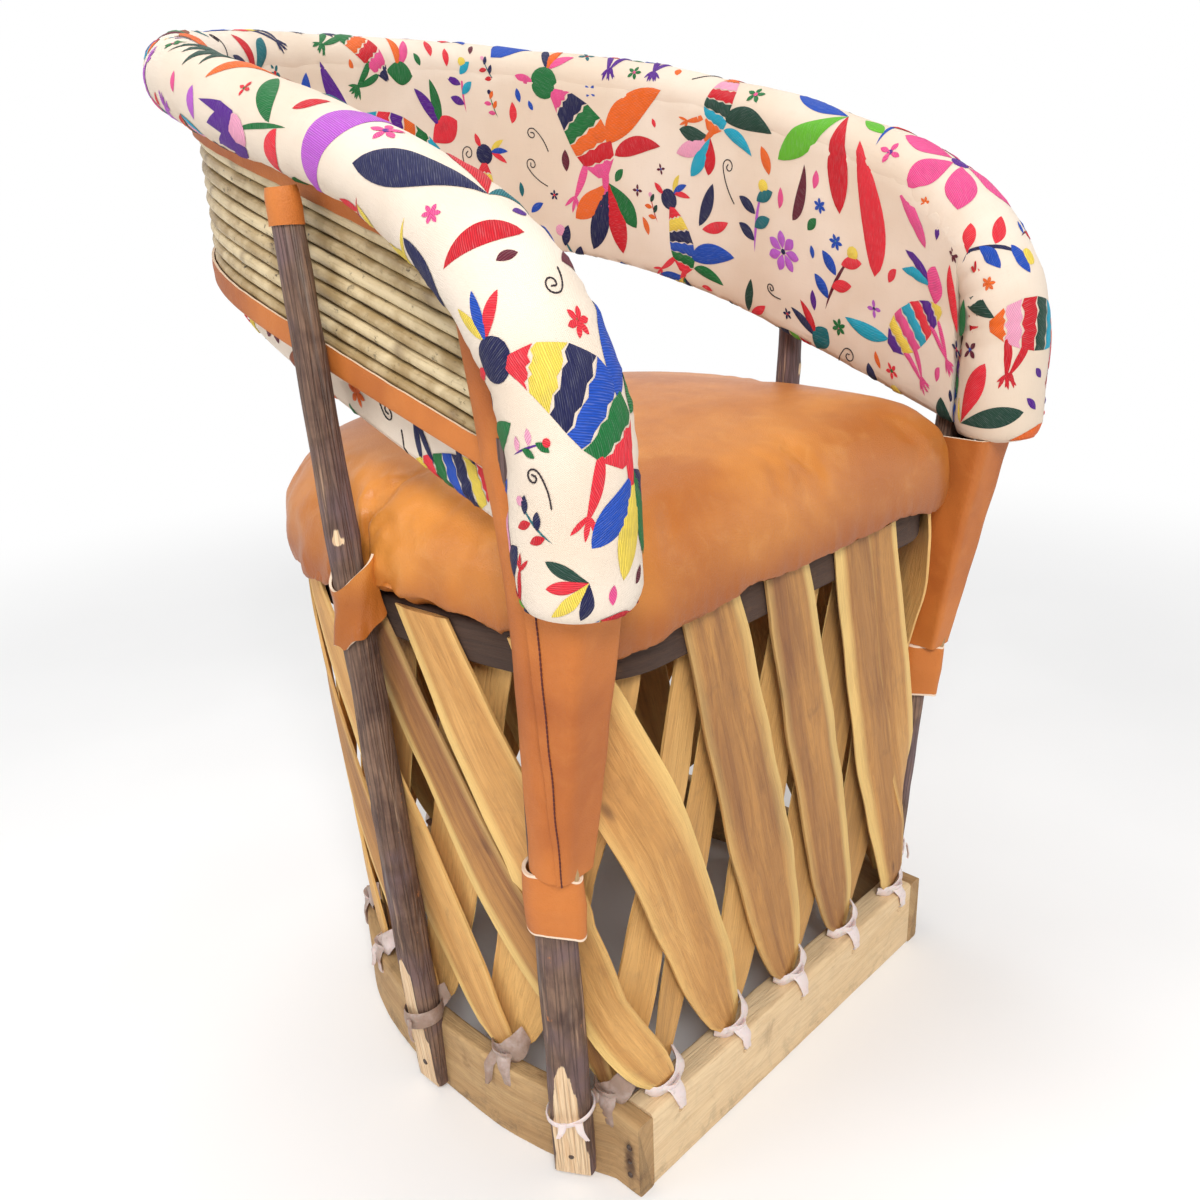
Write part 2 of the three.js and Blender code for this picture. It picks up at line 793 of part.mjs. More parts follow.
const slatBaseRuler = ruler(
  closedPlan({
    ...hoopPlan,
    half: hoop.half - slat.baseInset,
    frontHalf: hoopFrontHalf - slat.baseInset,
    frontAt: slat.baseInset,
    backAt: hoop.backAt - slat.baseInset,
    corner: slat.baseCorner,
  }),
  true,
);
const seatHoopRuler = ruler(closedPlan(seatHoopPlan), true);

function seatHoopGeometry(grow = 0) {
  const rings = [];
  const half = seatHoop.thickness / 2 + grow;
  const bottom = seatHoop.top - seatHoop.height - grow;
  for (let i = 0; i < steps.ring; i += 1) {
    const place = seatHoopRuler.at((seatHoopRuler.length * i) / steps.ring);
    rings.push([
      offset(place, half, bottom),
      offset(place, half, seatHoop.top + grow),
      offset(place, -half, seatHoop.top + grow),
      offset(place, -half, bottom),
    ]);
  }
  return loft(rings, true);
}

// A place on the slats' sheet, which spans from the base to the seat hoop
function onSheet(turnShare, heightShare) {
  const low = slatBaseRuler.at(turnShare * slatBaseRuler.length);
  const high = seatHoopRuler.at(turnShare * seatHoopRuler.length);
  return {
    point: low.point.lerp(high.point, heightShare),
    out: low.out.lerp(high.out, heightShare).normalize(),
  };
}

const slatFoot = board.height + fit;
const slatHead = seatHoop.top - slat.topBelow;

// Where a slat's section stands at one of its heights. Its side is 1 on the outside of the seat hoop
// and -1 on the inside. A slat that is laid over its neighbour is lifted off the sheet.
function slatSection({ distance, side, lean, width, lift }, i) {
  const heightShare = slatHeightShares[i];
  const hoopUnder = (seatHoop.top - seatHoop.height - slatFoot) / (slatHead - slatFoot);
  const partedTop = seatHoop.thickness / 2 + fit + slat.thickness / 2;
  const turnShare = (distance + lean * heightShare) / slatBaseRuler.length;
  const half = (width * slatWidthShares[i]) / 2;
  const parted = THREE.MathUtils.lerp(slat.parting, partedTop, Math.min(heightShare / hoopUnder, 1));
  const z = THREE.MathUtils.lerp(slatFoot, slatHead, heightShare);
  const middle = onSheet(turnShare, heightShare);
  const along = new THREE.Vector3(middle.out.y, -middle.out.x, 0);
  // On the inside of a bend, the edges touch the sheet and the middle stands off
  const turnHalf = half / slatBaseRuler.length;
  const edges = [-turnHalf, turnHalf].map((share) => onSheet(turnShare + share, heightShare));
  const hollow = Math.max(...edges.map(({ point }) => middle.point.clone().sub(point).dot(middle.out)), 0);
  const off = parted + lift * slatLiftShares[i] + (side < 0 ? hollow : 0);
  const spot = (depth, reach) => offset(middle, side * off + depth, z).addScaledVector(along, reach);
  return { half, spot };
}

// One slat, flat across its width, with a bevel along both edges of its outer face
function slatGeometry(shape) {
  const rings = slatHeightShares.map((_, i) => {
    const { half, spot } = slatSection(shape, i);
    const bevel = Math.min(slat.bevel, half / 2);
    const face = (depth, reach) => [-reach, 0, reach].map((across) => spot(depth, across));
    return [...face(slat.thickness / 2, half - bevel), ...face(-slat.thickness / 2, half).reverse()];
  });
  return loft(rings);
}

// The space over a slat and beyond it, where the slat tucked under it is cut away. That one comes
// from the side towards which tuckedSide is 1 or -1.
function overSlatGeometry(shape) {
  const rings = slatHeightShares.map((_, i) => {
    const { half, spot } = slatSection(shape, i);
    const inner = -slat.thickness / 2 - fit;
    const near = shape.tuckedSide * (half + fit);
    const far = -shape.tuckedSide * slat.width;
    const corners = [
      [inner, near],
      [inner, far],
      [slat.width, far],
      [slat.width, near],
    ];
    return corners.map(([depth, across]) => spot(depth, across));
  });
  return loft(rings);
}

// Distances of the ties from the middle of the front: the front row, both sides and the back
function tieDistances() {
  const sides = [];
  for (let i = 0; i < ties.sideCount; i += 1) {
    sides.push(slatBaseRuler.distanceAt(ties.sideFrom + ties.sidePitch * i));
  }
  const last = sides[sides.length - 1];
  const pitch = (slatBaseRuler.length / 2 - last) / (ties.backCount + 0.5);
  for (let i = 1; i <= ties.backCount; i += 1) sides.push(last + pitch * i);
  const half = [ties.frontPitch, 2 * ties.frontPitch, ...sides];
  return [0, ...half, ...half.map((distance) => slatBaseRuler.length - distance).reverse()];
}

function cushionGeometry() {
  const outline = ruler(closedPlan(seatPlan), true);
  const middle = new THREE.Vector3(0, seat.middleAt, 0);
  const bottom = seatHoop.top + fit;
  const rings = cushionInShares.map((inShare, i) => {
    const z = bottom + seat.height * cushionUpShares[i];
    return Array.from({ length: steps.ring }, (_, k) => {
      const { point } = outline.at((outline.length * k) / steps.ring);
      return point.lerp(middle, inShare).setZ(z);
    });
  });
  return loft(rings);
}

// Finishes
const finish = (color, roughness, metalness = 0) =>
  new THREE.MeshStandardMaterial({ color, roughness, metalness });
const finishes = {
  plank: () => finish("#d9b98c", 0.8),
  bent: () => finish("#c09a68", 0.8),
  bark: () => finish("#6b5346", 0.9),
  riven: () => finish("#cf9a58", 0.7),
  leather: () => finish("#c67a34", 0.5),
  cane: () => finish("#b49c72", 0.75),
  cloth: () => finish("#e2d3be", 0.9),
  rod: () => finish("#a98256", 0.8),
};

const chair = new THREE.Group();

function add(name, shape, material) {
  const geometry = shape instanceof THREE.BufferGeometry ? shape : geometryOf(shape);
  geometry.computeVertexNormals();
  const mesh = new THREE.Mesh(geometry, material);
  mesh.name = name;
  chair.add(mesh);
}

// Solids that cut their neighbours, each larger than its piece by the gap
const solids = (geometries) => geometries.map(solidOf);
const rollRoom = solidOf(rollTube(fit));
const railRoom = solidOf(railTube(fit));
const hoopRoom = solidOf(hoopGeometry(fit));
const frontPostRoom = solids(bothSides(postGeometry(frontPost, frontAxis, left, fit)));
const sidePostRoom = solids(bothSides(postGeometry(sidePost, sideAxis, left, fit)));
const sheathRoom = solids(bothSides(sheathGeometry(fit)));
const stripRoom = solids(bothSides(stripGeometry(fit)));
const liningRoom = solidOf(liningGeometry(fit));

function addPair(name, geometry, material, tools) {
  const [leftSide, rightSide] = solids(bothSides(geometry));
  add(`${name}_left`, cut(leftSide, tools), material());
  add(`${name}_right`, cut(rightSide, tools), material());
}

add("front_board", boardGeometry(), finishes.plank());
add("side_hoop", hoopGeometry(), finishes.bent());
addPair("front_post", postGeometry(frontPost, frontAxis, left), finishes.bark, [hoopRoom, rollRoom]);
addPair("side_post", postGeometry(sidePost, sideAxis, left), finishes.bark, [hoopRoom, rollRoom]);
add("back_post", cut(solidOf(postGeometry(backPost, backAxis, back)), hoopRoom, rollRoom), finishes.bark());

add("top_rail", railTube(0), finishes.rod());
add("arm_roll", cut(solidOf(rollTube(0)), railRoom), finishes.cloth());
add("back_lining", cut(solidOf(liningGeometry()), rollRoom, frontPostRoom), finishes.cloth());
add("reed_panel", cut(solidOf(reedPanelGeometry()), rollRoom), finishes.cane());
add("upper_binding", cut(solidOf(upperBindingGeometry()), rollRoom), finishes.leather());
add("lower_binding", cut(solidOf(lowerBindingGeometry()), rollRoom), finishes.leather());

addPair("post_strip", stripGeometry(), finishes.leather, [frontPostRoom, rollRoom]);
addPair("post_sheath", sheathGeometry(), finishes.leather, [frontPostRoom, railRoom, stripRoom]);
addPair("post_band", bandGeometry(), finishes.leather, [frontPostRoom, railRoom]);

add("seat_hoop", seatHoopGeometry(), finishes.bent());
add(
  "seat_cushion",
  cut(solidOf(cushionGeometry()), rollRoom, liningRoom, frontPostRoom, sidePostRoom, sheathRoom, stripRoom),
  finishes.leather(),
);

const seatHoopRoom = solidOf(seatHoopGeometry(fit));

function addSlat(name, shape, tools) {
  add(name, cut(solidOf(slatGeometry(shape)), seatHoopRoom, frontPostRoom, tools), finishes.riven());
}

const tieRow = tieDistances();
const outerLeans = outerLeanShares.map((share) => slat.lean * share);
const innerLeans = outerLeanShares.map(() => -slat.lean);

// The distance from one slat to the next, where both are widest
function slatSpacing(i, leans) {
  const next = (i + 1) % tieRow.length;
  const lap = next === 0 ? slatBaseRuler.length : 0;
  return tieRow[next] + lap - tieRow[i] + (leans[next] - leans[i]) * slatWidestShare;
}

// Round each front corner the board's last outer slat is laid over the hoop's first one
const laidOver = (i) => i === cornerTie || i === tieRow.length - cornerTie;
const lapsNext = (i) => i === cornerTie || i === tieRow.length - cornerTie - 1;
const tuckedUnder = (i) => i === cornerTie + 1 || i === tieRow.length - cornerTie - 1;

// The width of a slat, as far as its neighbours in the same layer leave it room
function slatWidth(i, leans, wave) {
  const before = (i + tieRow.length - 1) % tieRow.length;
  const rooms = [before, i].filter((k) => leans[k] < 0 || !lapsNext(k)).map((k) => slatSpacing(k, leans));
  const fullWidth = slat.width + slat.widthVaries * Math.cos(wave * i);
  const width = Math.min(fullWidth, slatRoomShare * Math.min(...rooms));
  return leans[i] > 0 && tuckedUnder(i) ? slatTuckedShare * width : width;
}

const outerShapes = tieRow.map((distance, i) => ({
  distance,
  side: 1,
  lean: outerLeans[i],
  width: slatWidth(i, outerLeans, outerWave),
  lift: laidOver(i) ? slat.lift : 0,
  tuckedSide: i === cornerTie ? 1 : -1,
}));
const innerShapes = tieRow.map((distance, i) => ({
  distance,
  side: -1,
  lean: innerLeans[i],
  width: slatWidth(i, innerLeans, innerWave),
  lift: 0,
}));
const laidOverShapes = outerShapes.filter(({ lift }) => lift > 0);
const laidOverRoom = laidOverShapes.map((shape) => solidOf(overSlatGeometry(shape)));

tieRow.forEach((_, i) => {
  const number = String(i + 1).padStart(2, "0");
  addSlat(`outer_slat_${number}`, outerShapes[i], tuckedUnder(i) ? laidOverRoom : []);
  addSlat(`inner_slat_${number}`, innerShapes[i], []);
});

// The origin goes to the middle of the footprint box
const box = new THREE.Box3().setFromObject(chair);
const middle = box.getCenter(new THREE.Vector3()).setZ(box.min.z);
chair.children.forEach((mesh) => mesh.position.copy(middle).negate());

export default chair;
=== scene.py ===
import bisect
import math
import random

import bmesh
import bpy
from mathutils import Matrix, Vector, geometry, noise
from mathutils.bvhtree import BVHTree
from mathutils.kdtree import KDTree


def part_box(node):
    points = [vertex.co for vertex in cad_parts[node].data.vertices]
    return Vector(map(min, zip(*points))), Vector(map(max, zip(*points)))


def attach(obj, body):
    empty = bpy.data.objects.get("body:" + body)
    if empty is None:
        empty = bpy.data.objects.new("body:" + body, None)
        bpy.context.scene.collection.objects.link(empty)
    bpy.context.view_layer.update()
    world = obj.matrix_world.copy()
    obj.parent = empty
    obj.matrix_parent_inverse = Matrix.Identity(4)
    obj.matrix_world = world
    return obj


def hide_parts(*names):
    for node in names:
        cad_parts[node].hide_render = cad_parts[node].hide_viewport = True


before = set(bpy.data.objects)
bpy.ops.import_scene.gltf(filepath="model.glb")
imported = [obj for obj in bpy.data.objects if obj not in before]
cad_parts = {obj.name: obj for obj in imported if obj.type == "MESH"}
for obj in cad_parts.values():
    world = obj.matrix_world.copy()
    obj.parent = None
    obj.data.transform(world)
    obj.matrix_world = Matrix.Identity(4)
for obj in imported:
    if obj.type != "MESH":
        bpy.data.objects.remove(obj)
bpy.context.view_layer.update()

# The plans below are measured from the front face of the base board, so meshes move back by this
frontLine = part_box("front_board")[0].y
up = Vector((0, 0, 1))


def lerp(a, b, share):
    return a + (b - a) * share


def clamp(value, low=0.0, high=1.0):
    return min(max(value, low), high)


def smooth(low, high, value):
    share = clamp((value - low) / (high - low))
    return share * share * (3 - 2 * share)


# Where a value lies in a rising row: the index after it, and its share of the step there
def placeIn(row, value):
    i = clamp(bisect.bisect_left(row, value), 1, len(row) - 1)
    return i, (value - row[i - 1]) / (row[i] - row[i - 1])


def circle(count, radius, height=0.0):
    angles = [2 * math.pi * k / count for k in range(count)]
    return [Vector((math.cos(a) * radius, math.sin(a) * radius, height)) for a in angles]


# A level direction turned by an angle
def swung(facing, angle):
    return facing * math.cos(angle) + Vector((-facing.y, facing.x, 0)) * math.sin(angle)


def ripple(x, y, z, size, octaves=1):
    total = 0
    reach = 1
    for _ in range(octaves):
        total += reach * noise.noise(Vector((x / size, y / size, z / size)))
        size /= 2.1
        reach *= 0.5
    return total


# Plans

planSteps = {"side": 30, "arc": 120, "corner": 14}


def halfPlan(shape):
    straight = shape.get("straight", 0)
    row = [Vector((-shape["frontHalf"], shape["frontAt"], 0))] if straight else []
    deep = shape["widestAt"] - shape["frontAt"] - straight
    for i in range(planSteps["side"]):
        share = 1 - i / planSteps["side"]
        x = shape["half"] - (shape["half"] - shape["frontHalf"]) * share ** 2
        row.append(Vector((-x, shape["widestAt"] - deep * share, 0)))
    power = 2 / shape["squareness"]
    for i in range(planSteps["arc"], -1, -1):
        angle = i / planSteps["arc"] * math.pi / 2
        x = shape["half"] * max(math.sin(angle), 0) ** power
        y = (shape["backAt"] - shape["widestAt"]) * max(math.cos(angle), 0) ** power
        row.append(Vector((-x, shape["widestAt"] + y, 0)))
    return row


def mirrored(point):
    return Vector((-point.x, point.y, point.z))


def openPlan(shape):
    row = halfPlan(shape)
    return row + [mirrored(p) for p in reversed(row[:-1])]


def closedPlan(shape):
    corner = shape["corner"]
    centre = Vector((corner - shape["frontHalf"], shape["frontAt"] + corner, 0))
    row = [Vector((0, shape["frontAt"], 0))]
    for i in range(planSteps["corner"]):
        angle = i / planSteps["corner"] * math.pi / 2
        row.append(centre + Vector((-math.sin(angle), -math.cos(angle), 0)) * corner)
    row += halfPlan({**shape, "frontAt": shape["frontAt"] + corner})
    return row + [mirrored(p) for p in reversed(row[1:-1])]


class Plan:
    def __init__(self, row, closed=False):
        self.closed = closed
        self.points = row + row[:1] if closed else row
        self.reach = [0]
        for a, b in zip(self.points, self.points[1:]):
            self.reach.append(self.reach[-1] + (b - a).length)
        self.length = self.reach[-1]
        last = len(self.points) - 1
        self.outward = []
        for i, point in enumerate(self.points):
            before = self.points[i - 1] if i else self.points[last - 1] if closed else point
            after = self.points[i + 1] if i < last else self.points[1] if closed else point
            along = after - before
            self.outward.append(Vector((-along.y, along.x, 0)).normalized())

    def at(self, distance):
        if self.closed:
            distance %= self.length
        i, share = placeIn(self.reach, distance)
        point = self.points[i - 1].lerp(self.points[i], share)
        return point, self.outward[i - 1].lerp(self.outward[i], share).normalized()

    def distanceAt(self, y):
        for i in range(1, len(self.points)):
            if self.points[i].x < 0 and self.points[i].y >= y:
                a, b = self.points[i - 1].y, self.points[i].y
                return lerp(self.reach[i - 1], self.reach[i], (y - a) / (b - a))
        return self.length / 2

    def offset(self, distance, out, z):
        point, outward = self.at(distance)
        return Vector((point.x + outward.x * out, point.y + outward.y * out, z))


# Meshes

def meshObject(name, verts, faces, uvs=None, edges=()):
    mesh = bpy.data.meshes.new(name)
    mesh.from_pydata([(v[0], v[1] + frontLine, v[2]) for v in verts], edges, faces)
    if uvs:
        layer = mesh.uv_layers.new(name="UVMap")
        for loop, uv in zip(layer.data, uvs):
            loop.uv = uv
    mesh.validate()
    piece = bpy.data.objects.new(name, mesh)
    bpy.context.scene.collection.objects.link(piece)
    return piece


def smoothed(piece, degrees=40):
    piece.data.shade_smooth()
    piece.data.set_sharp_from_angle(angle=math.radians(degrees))
    return piece


def outwards(piece):
    shape = bmesh.new()
    shape.from_mesh(piece.data)
    bmesh.ops.recalc_face_normals(shape, faces=shape.faces)
    if shape.calc_volume(signed=True) < 0:
        bmesh.ops.reverse_faces(shape, faces=shape.faces)
    shape.to_mesh(piece.data)
    shape.free()
    return piece


def pointValues(piece, name, values):
    layer = piece.data.attributes.new(name, "FLOAT", "POINT")
    layer.data.foreach_set("value", values)


# The piece's shift of colour: its own tone, and for some inner slats painted shade
def toned(piece, tone):
    pointValues(piece, "tone", [tone] * len(piece.data.vertices))
    return piece


def runningLengths(points):
    reach = [0]
    for a, b in zip(points, points[1:]):
        reach.append(reach[-1] + (b - a).length)
    return reach


# Skins rings of as many points each. The UV map holds metres round the ring and along the row.
def skin(name, rings, loop=False, caps=True):
    size = len(rings[0])
    widest = rings[len(rings) // 2]
    around = runningLengths(widest + widest[:1])
    centres = [sum(ring, Vector()) / size for ring in rings]
    along = runningLengths(centres + centres[:1] if loop else centres)
    faces = []
    uvs = []
    for i in range(len(rings) if loop else len(rings) - 1):
        a = i * size
        b = ((i + 1) % len(rings)) * size
        for j in range(size):
            k = (j + 1) % size
            faces.append((a + j, a + k, b + k, b + j))
            uvs += [(around[j], along[i]), (around[j + 1], along[i]),
                    (around[j + 1], along[i + 1]), (around[j], along[i + 1])]
    verts = [point for ring in rings for point in ring]
    if caps and not loop:
        for start, ring, turned in ((0, rings[0], True), ((len(rings) - 1) * size, rings[-1], False)):
            order = list(range(start, start + size))
            if turned:
                order.reverse()
            faces.append(order)
            uvs += [(around[v - start], along[0 if turned else -1]) for v in order]
    return outwards(meshObject(name, verts, faces, uvs))


# A sheet of leather or rawhide: rows of points with a thickness behind them, and a raw rim
def sheetPiece(name, rows, thickness, closed=False, away=None, rawRows=0):
    height = len(rows)
    width = len(rows[0])
    columns = width if closed else width - 1
    normals = []
    for i in range(height):
        for j in range(width):
            before = rows[i][(j - 1) % width] if closed or j else rows[i][j]
            after = rows[i][(j + 1) % width] if closed or j < width - 1 else rows[i][j]
            across = after - before
            length = rows[min(i + 1, height - 1)][j] - rows[max(i - 1, 0)][j]
            normals.append(across.cross(length).normalized())
    if away is not None:
        middle = (height // 2) * width + width // 2
        if normals[middle].dot(rows[height // 2][width // 2] - away) < 0:
            normals = [-n for n in normals]
    front = [point for row in rows for point in row]
    rear = [point - n * thickness for point, n in zip(front, normals)]
    count = len(front)
    across = runningLengths(rows[height // 2] + (rows[height // 2][:1] if closed else []))
    along = runningLengths([row[width // 2] for row in rows])
    faces = []
    uvs = []
    raw = []

    def patch(corners, spots, isRaw):
        faces.append(corners)
        uvs.extend(spots)
        raw.append(isRaw)

    for i in range(height - 1):
        for j in range(columns):
            k = (j + 1) % width
            a, b, c, d = i * width + j, i * width + k, (i + 1) * width + k, (i + 1) * width + j
            spots = [(across[j], along[i]), (across[j + 1], along[i]),
                     (across[j + 1], along[i + 1]), (across[j], along[i + 1])]
            edging = 1 if i < rawRows or i >= height - 1 - rawRows else 0
            patch((a, b, c, d), spots, edging)
            patch((count + d, count + c, count + b, count + a), spots[::-1], edging)
    for j in range(columns):
        k = (j + 1) % width
        for i in (0, height - 1):
            a, b = i * width + j, i * width + k
            spots = [(across[j], along[i]), (across[j + 1], along[i])]
            patch((a, count + a, count + b, b), [spots[0], spots[0], spots[1], spots[1]], 1)
    if not closed:
        for i in range(height - 1):
            for j in (0, width - 1):
                a, b = i * width + j, (i + 1) * width + j
                spots = [(across[j], along[i]), (across[j], along[i + 1])]
                patch((a, b, count + b, count + a), [spots[0], spots[1], spots[1], spots[0]], 1)
    piece = meshObject(name, front + rear, faces, uvs)
    layer = piece.data.attributes.new("raw", "FLOAT", "FACE")
    layer.data.foreach_set("value", raw)
    return outwards(piece)


def joined(name, parts):
    with bpy.context.temp_override(active_object=parts[0], selected_editable_objects=parts):
        bpy.ops.object.join()
    parts[0].name = name
    parts[0].data.name = name
    return parts[0]


def applied(piece):
    graph = bpy.context.evaluated_depsgraph_get()
    made = bpy.data.meshes.new_from_object(piece.evaluated_get(graph), depsgraph=graph)
    piece.modifiers.clear()
    old = piece.data
    piece.data = made
    made.name = piece.name
    bpy.data.meshes.remove(old)
    return piece


def drilled(piece, holes, radius, reach):
    drills = []
    for at, way in holes:
        turn = up.rotation_difference(way).to_matrix()
        rings = [[at + turn @ p for p in circle(10, radius, end)] for end in (-reach, reach)]
        drills.append(skin("drill", rings))
    drill = joined("drill", drills)
    holesCut = piece.modifiers.new("holes", "BOOLEAN")
    holesCut.operation = "DIFFERENCE"
    holesCut.solver = "EXACT"
    holesCut.object = drill
    applied(piece)
    bpy.data.objects.remove(drill)
    return piece


pieces = {}


def finished(piece, paint, slot, *nodes):
    piece.data.materials.clear()
    piece.data.materials.append(paint)
    if nodes and piece.name.startswith(nodes[0]):
        piece.name = piece.data.name = nodes[0] + "_fine"
    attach(piece, "root")
    if nodes:
        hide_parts(*nodes)
        pieces[nodes[0]] = piece
    return piece


# Leather from rows of points on the left side, mirrored where it is the right side's
def strapPiece(name, rows, thickness, away, flip=False, degrees=45, nodes=None, **settings):
    if flip:
        rows = [[mirrored(p) for p in row] for row in rows]
        away = mirrored(away)
    piece = sheetPiece(name, rows, thickness, away=away, **settings)
    replaced = [name] if nodes is None else nodes
    return finished(smoothed(piece, degrees), strapLeather, "strap_leather", *replaced)


# Materials

def dye(red, green, blue):
    tones = []
    for part in (red, green, blue):
        share = part / 255
        tones.append(share / 12.92 if share <= 0.04045 else ((share + 0.055) / 1.055) ** 2.4)
    return (*tones, 1)


def feed(tree, target, value):
    if isinstance(value, Wire):
        tree.links.new(value.socket, target)
    else:
        target.default_value = value


class Wire:
    def __init__(self, tree, socket=None):
        self.tree = tree
        self.socket = socket

    def node(self, kind, settings=None, inputs=None, output=0):
        made = self.tree.nodes.new(kind)
        for key, value in (settings or {}).items():
            setattr(made, key, value)
        for key, value in (inputs or {}).items():
            feed(self.tree, made.inputs[key], value)
        return Wire(self.tree, made.outputs[output])

    def maths(self, operation, *values):
        return self.node("ShaderNodeMath", {"operation": operation}, dict(enumerate(values)))

    def __add__(self, other):
        return self.maths("ADD", self, other)

    def __radd__(self, other):
        return self.maths("ADD", other, self)

    def __sub__(self, other):
        return self.maths("SUBTRACT", self, other)

    def __rsub__(self, other):
        return self.maths("SUBTRACT", other, self)

    def __mul__(self, other):
        return self.maths("MULTIPLY", self, other)

    def __rmul__(self, other):
        return self.maths("MULTIPLY", other, self)

    def stretched(self, x, y, z=1):
        return self.node("ShaderNodeVectorMath", {"operation": "MULTIPLY"}, {0: self, 1: (x, y, z)})

    def moved(self, by):
        return self.node("ShaderNodeVectorMath", {"operation": "ADD"}, {0: self, 1: by})

    def part(self, index):
        return self.node("ShaderNodeSeparateXYZ", None, {0: self}, index)

    def rise(self, low, high, start=0.0, end=1.0):
        return self.node("ShaderNodeMapRange", {"interpolation_type": "SMOOTHSTEP"},
                         {"Value": self, "From Min": low, "From Max": high, "To Min": start, "To Max": end})

    def blend(self, first, second, kind="MIX"):
        return self.node("ShaderNodeMix", {"data_type": "RGBA", "blend_type": kind},
                         {0: self, 6: first, 7: second}, 2)

    def cloud(self, scale, detail=3.0, roughness=0.55, distortion=0.0):
        return self.node("ShaderNodeTexNoise", None,
                         {"Vector": self, "Scale": scale, "Detail": detail, "Roughness": roughness,
                          "Distortion": distortion})

    def cells(self, scale, feature="F1"):
        return self.node("ShaderNodeTexVoronoi", {"feature": feature}, {"Vector": self, "Scale": scale})

    def attribute(self, name, output=2):
        return self.node("ShaderNodeAttribute", {"attribute_name": name}, None, output)

    def objectPlace(self):
        return self.node("ShaderNodeTexCoord", None, None, 3)

    def mapPlace(self):
        return self.node("ShaderNodeTexCoord", None, None, 2)


def paint(name):
    made = bpy.data.materials.new(name)
    made.use_nodes = True
    made.node_tree.nodes.clear()
    return made, Wire(made.node_tree)


def surfaced(made, start, shader):
    feed(start.tree, start.tree.nodes.new("ShaderNodeOutputMaterial").inputs[0], shader)
    return made


def coat(made, start, colour, roughness, height=None, depth=0.001, settings=None):
    inputs = {"Base Color": colour, "Roughness": roughness, **(settings or {})}
    if height is not None:
        bump = {"Height": height, "Distance": depth, "Strength": 1.0}
        inputs["Normal"] = start.node("ShaderNodeBump", None, bump)
    return surfaced(made, start, start.node("ShaderNodeBsdfPrincipled", None, inputs))


# Wood on the UV map: metres across and along the grain. "tone" shifts each piece's colour.
def woodPaint(name, pale, middle, dark, edge, grainScale=1.0, roughness=0.62, stainsAndLowDarkening=0.4, rusty=False):
    made, start = paint(name)
    place = start.mapPlace()
    tone = start.attribute("tone")
    seat = start.node("ShaderNodeCombineXYZ", None, {0: tone * 7.3, 1: tone * 3.1, 2: tone * 5.7})
    spot = place.moved(seat)
    fine = spot.stretched(900 * grainScale, 26 * grainScale).cloud(1, 4, 0.6, 0.3)
    broad = spot.stretched(120 * grainScale, 7 * grainScale).cloud(1, 3, 0.5, 0.8)
    wide = spot.stretched(26, 3).cloud(1, 2, 0.5, 0.4)
    rings = start.maths("SINE", (broad * 9 + fine * 1.4) * 6) * 0.5 + 0.5
    shade = broad * 0.5 + wide * 0.9 + tone * 0.75 - 0.72
    colour = shade.rise(0.0, 0.5).blend(pale, middle)
    colour = shade.rise(0.35, 0.95).blend(colour, dark)
    colour = (rings * 0.32 * fine).blend(colour, dark, "MULTIPLY")
    colour = (fine.rise(0.62, 0.8) * 0.5).blend(colour, dark)
    knots = spot.stretched(20, 9).cells(1).rise(0.03, 0.12, 1, 0)
    colour = (knots * 0.75).blend(colour, dye(88, 52, 30))
    where = start.objectPlace()
    stains = where.cloud(34, 5, 0.65, 0.5).rise(0.56, 0.8) * stainsAndLowDarkening
    colour = stains.blend(colour, dye(120, 84, 54))
    # Patchy grey-brown darkening everywhere, stronger towards the bottom in the lowest 3 cm
    darkPatchesLow = (where.part(2).rise(0.0, 0.03, 1, 0) * 0.5 + 0.2) * where.cloud(58, 5, 0.75, 0.6).rise(0.46, 0.66)
    colour = (darkPatchesLow * stainsAndLowDarkening).blend(colour, dye(84, 70, 56))
    if rusty:
        ahead = where.part(1) * 1 - (frontLine + 0.009)
        beside = start.maths("ABSOLUTE", where.part(0)) * 1 - 0.2
        level = (where.part(2) * 1 - 0.03) * 0.3
        near = start.maths("SQRT", ahead * ahead + beside * beside + level * level)
        rust = (near + where.cloud(210, 4, 0.7) * 0.006).rise(0.005, 0.0105, 1, 0)
        colour = (rust * 0.85).blend(colour, dye(62, 34, 22))
    bare = start.attribute("bare")
    colour = (bare * (0.9 - fine * 0.5)).blend(colour, edge)
    height = fine * 0.5 + rings * 0.18 + spot.stretched(300, 60).cloud(1, 2) * 0.5
    return coat(made, start, colour, roughness + fine * 0.14, height, 0.0009)


slatPaint = woodPaint("riven slat", dye(226, 174, 104), dye(200, 144, 78), dye(134, 86, 50),
                      dye(250, 214, 134))
plankPaint = woodPaint("sawn plank", dye(232, 204, 162), dye(222, 188, 140), dye(178, 140, 100),
                       dye(196, 160, 140), 0.8, 0.7)
hoopPaint = woodPaint("bent wood", dye(200, 166, 118), dye(176, 138, 92), dye(120, 88, 60),
                      dye(190, 150, 126), 1.0, 0.72, 0.8, True)
# Painted shade: a darkened copy of the bent wood, for the seat hoop that lies in shade under the cushion's
# rim
shadedHoopPaint = woodPaint("dark bent wood", dye(92, 66, 48), dye(72, 50, 38), dye(44, 30, 24),
                      dye(110, 80, 56), 1.0, 0.8)


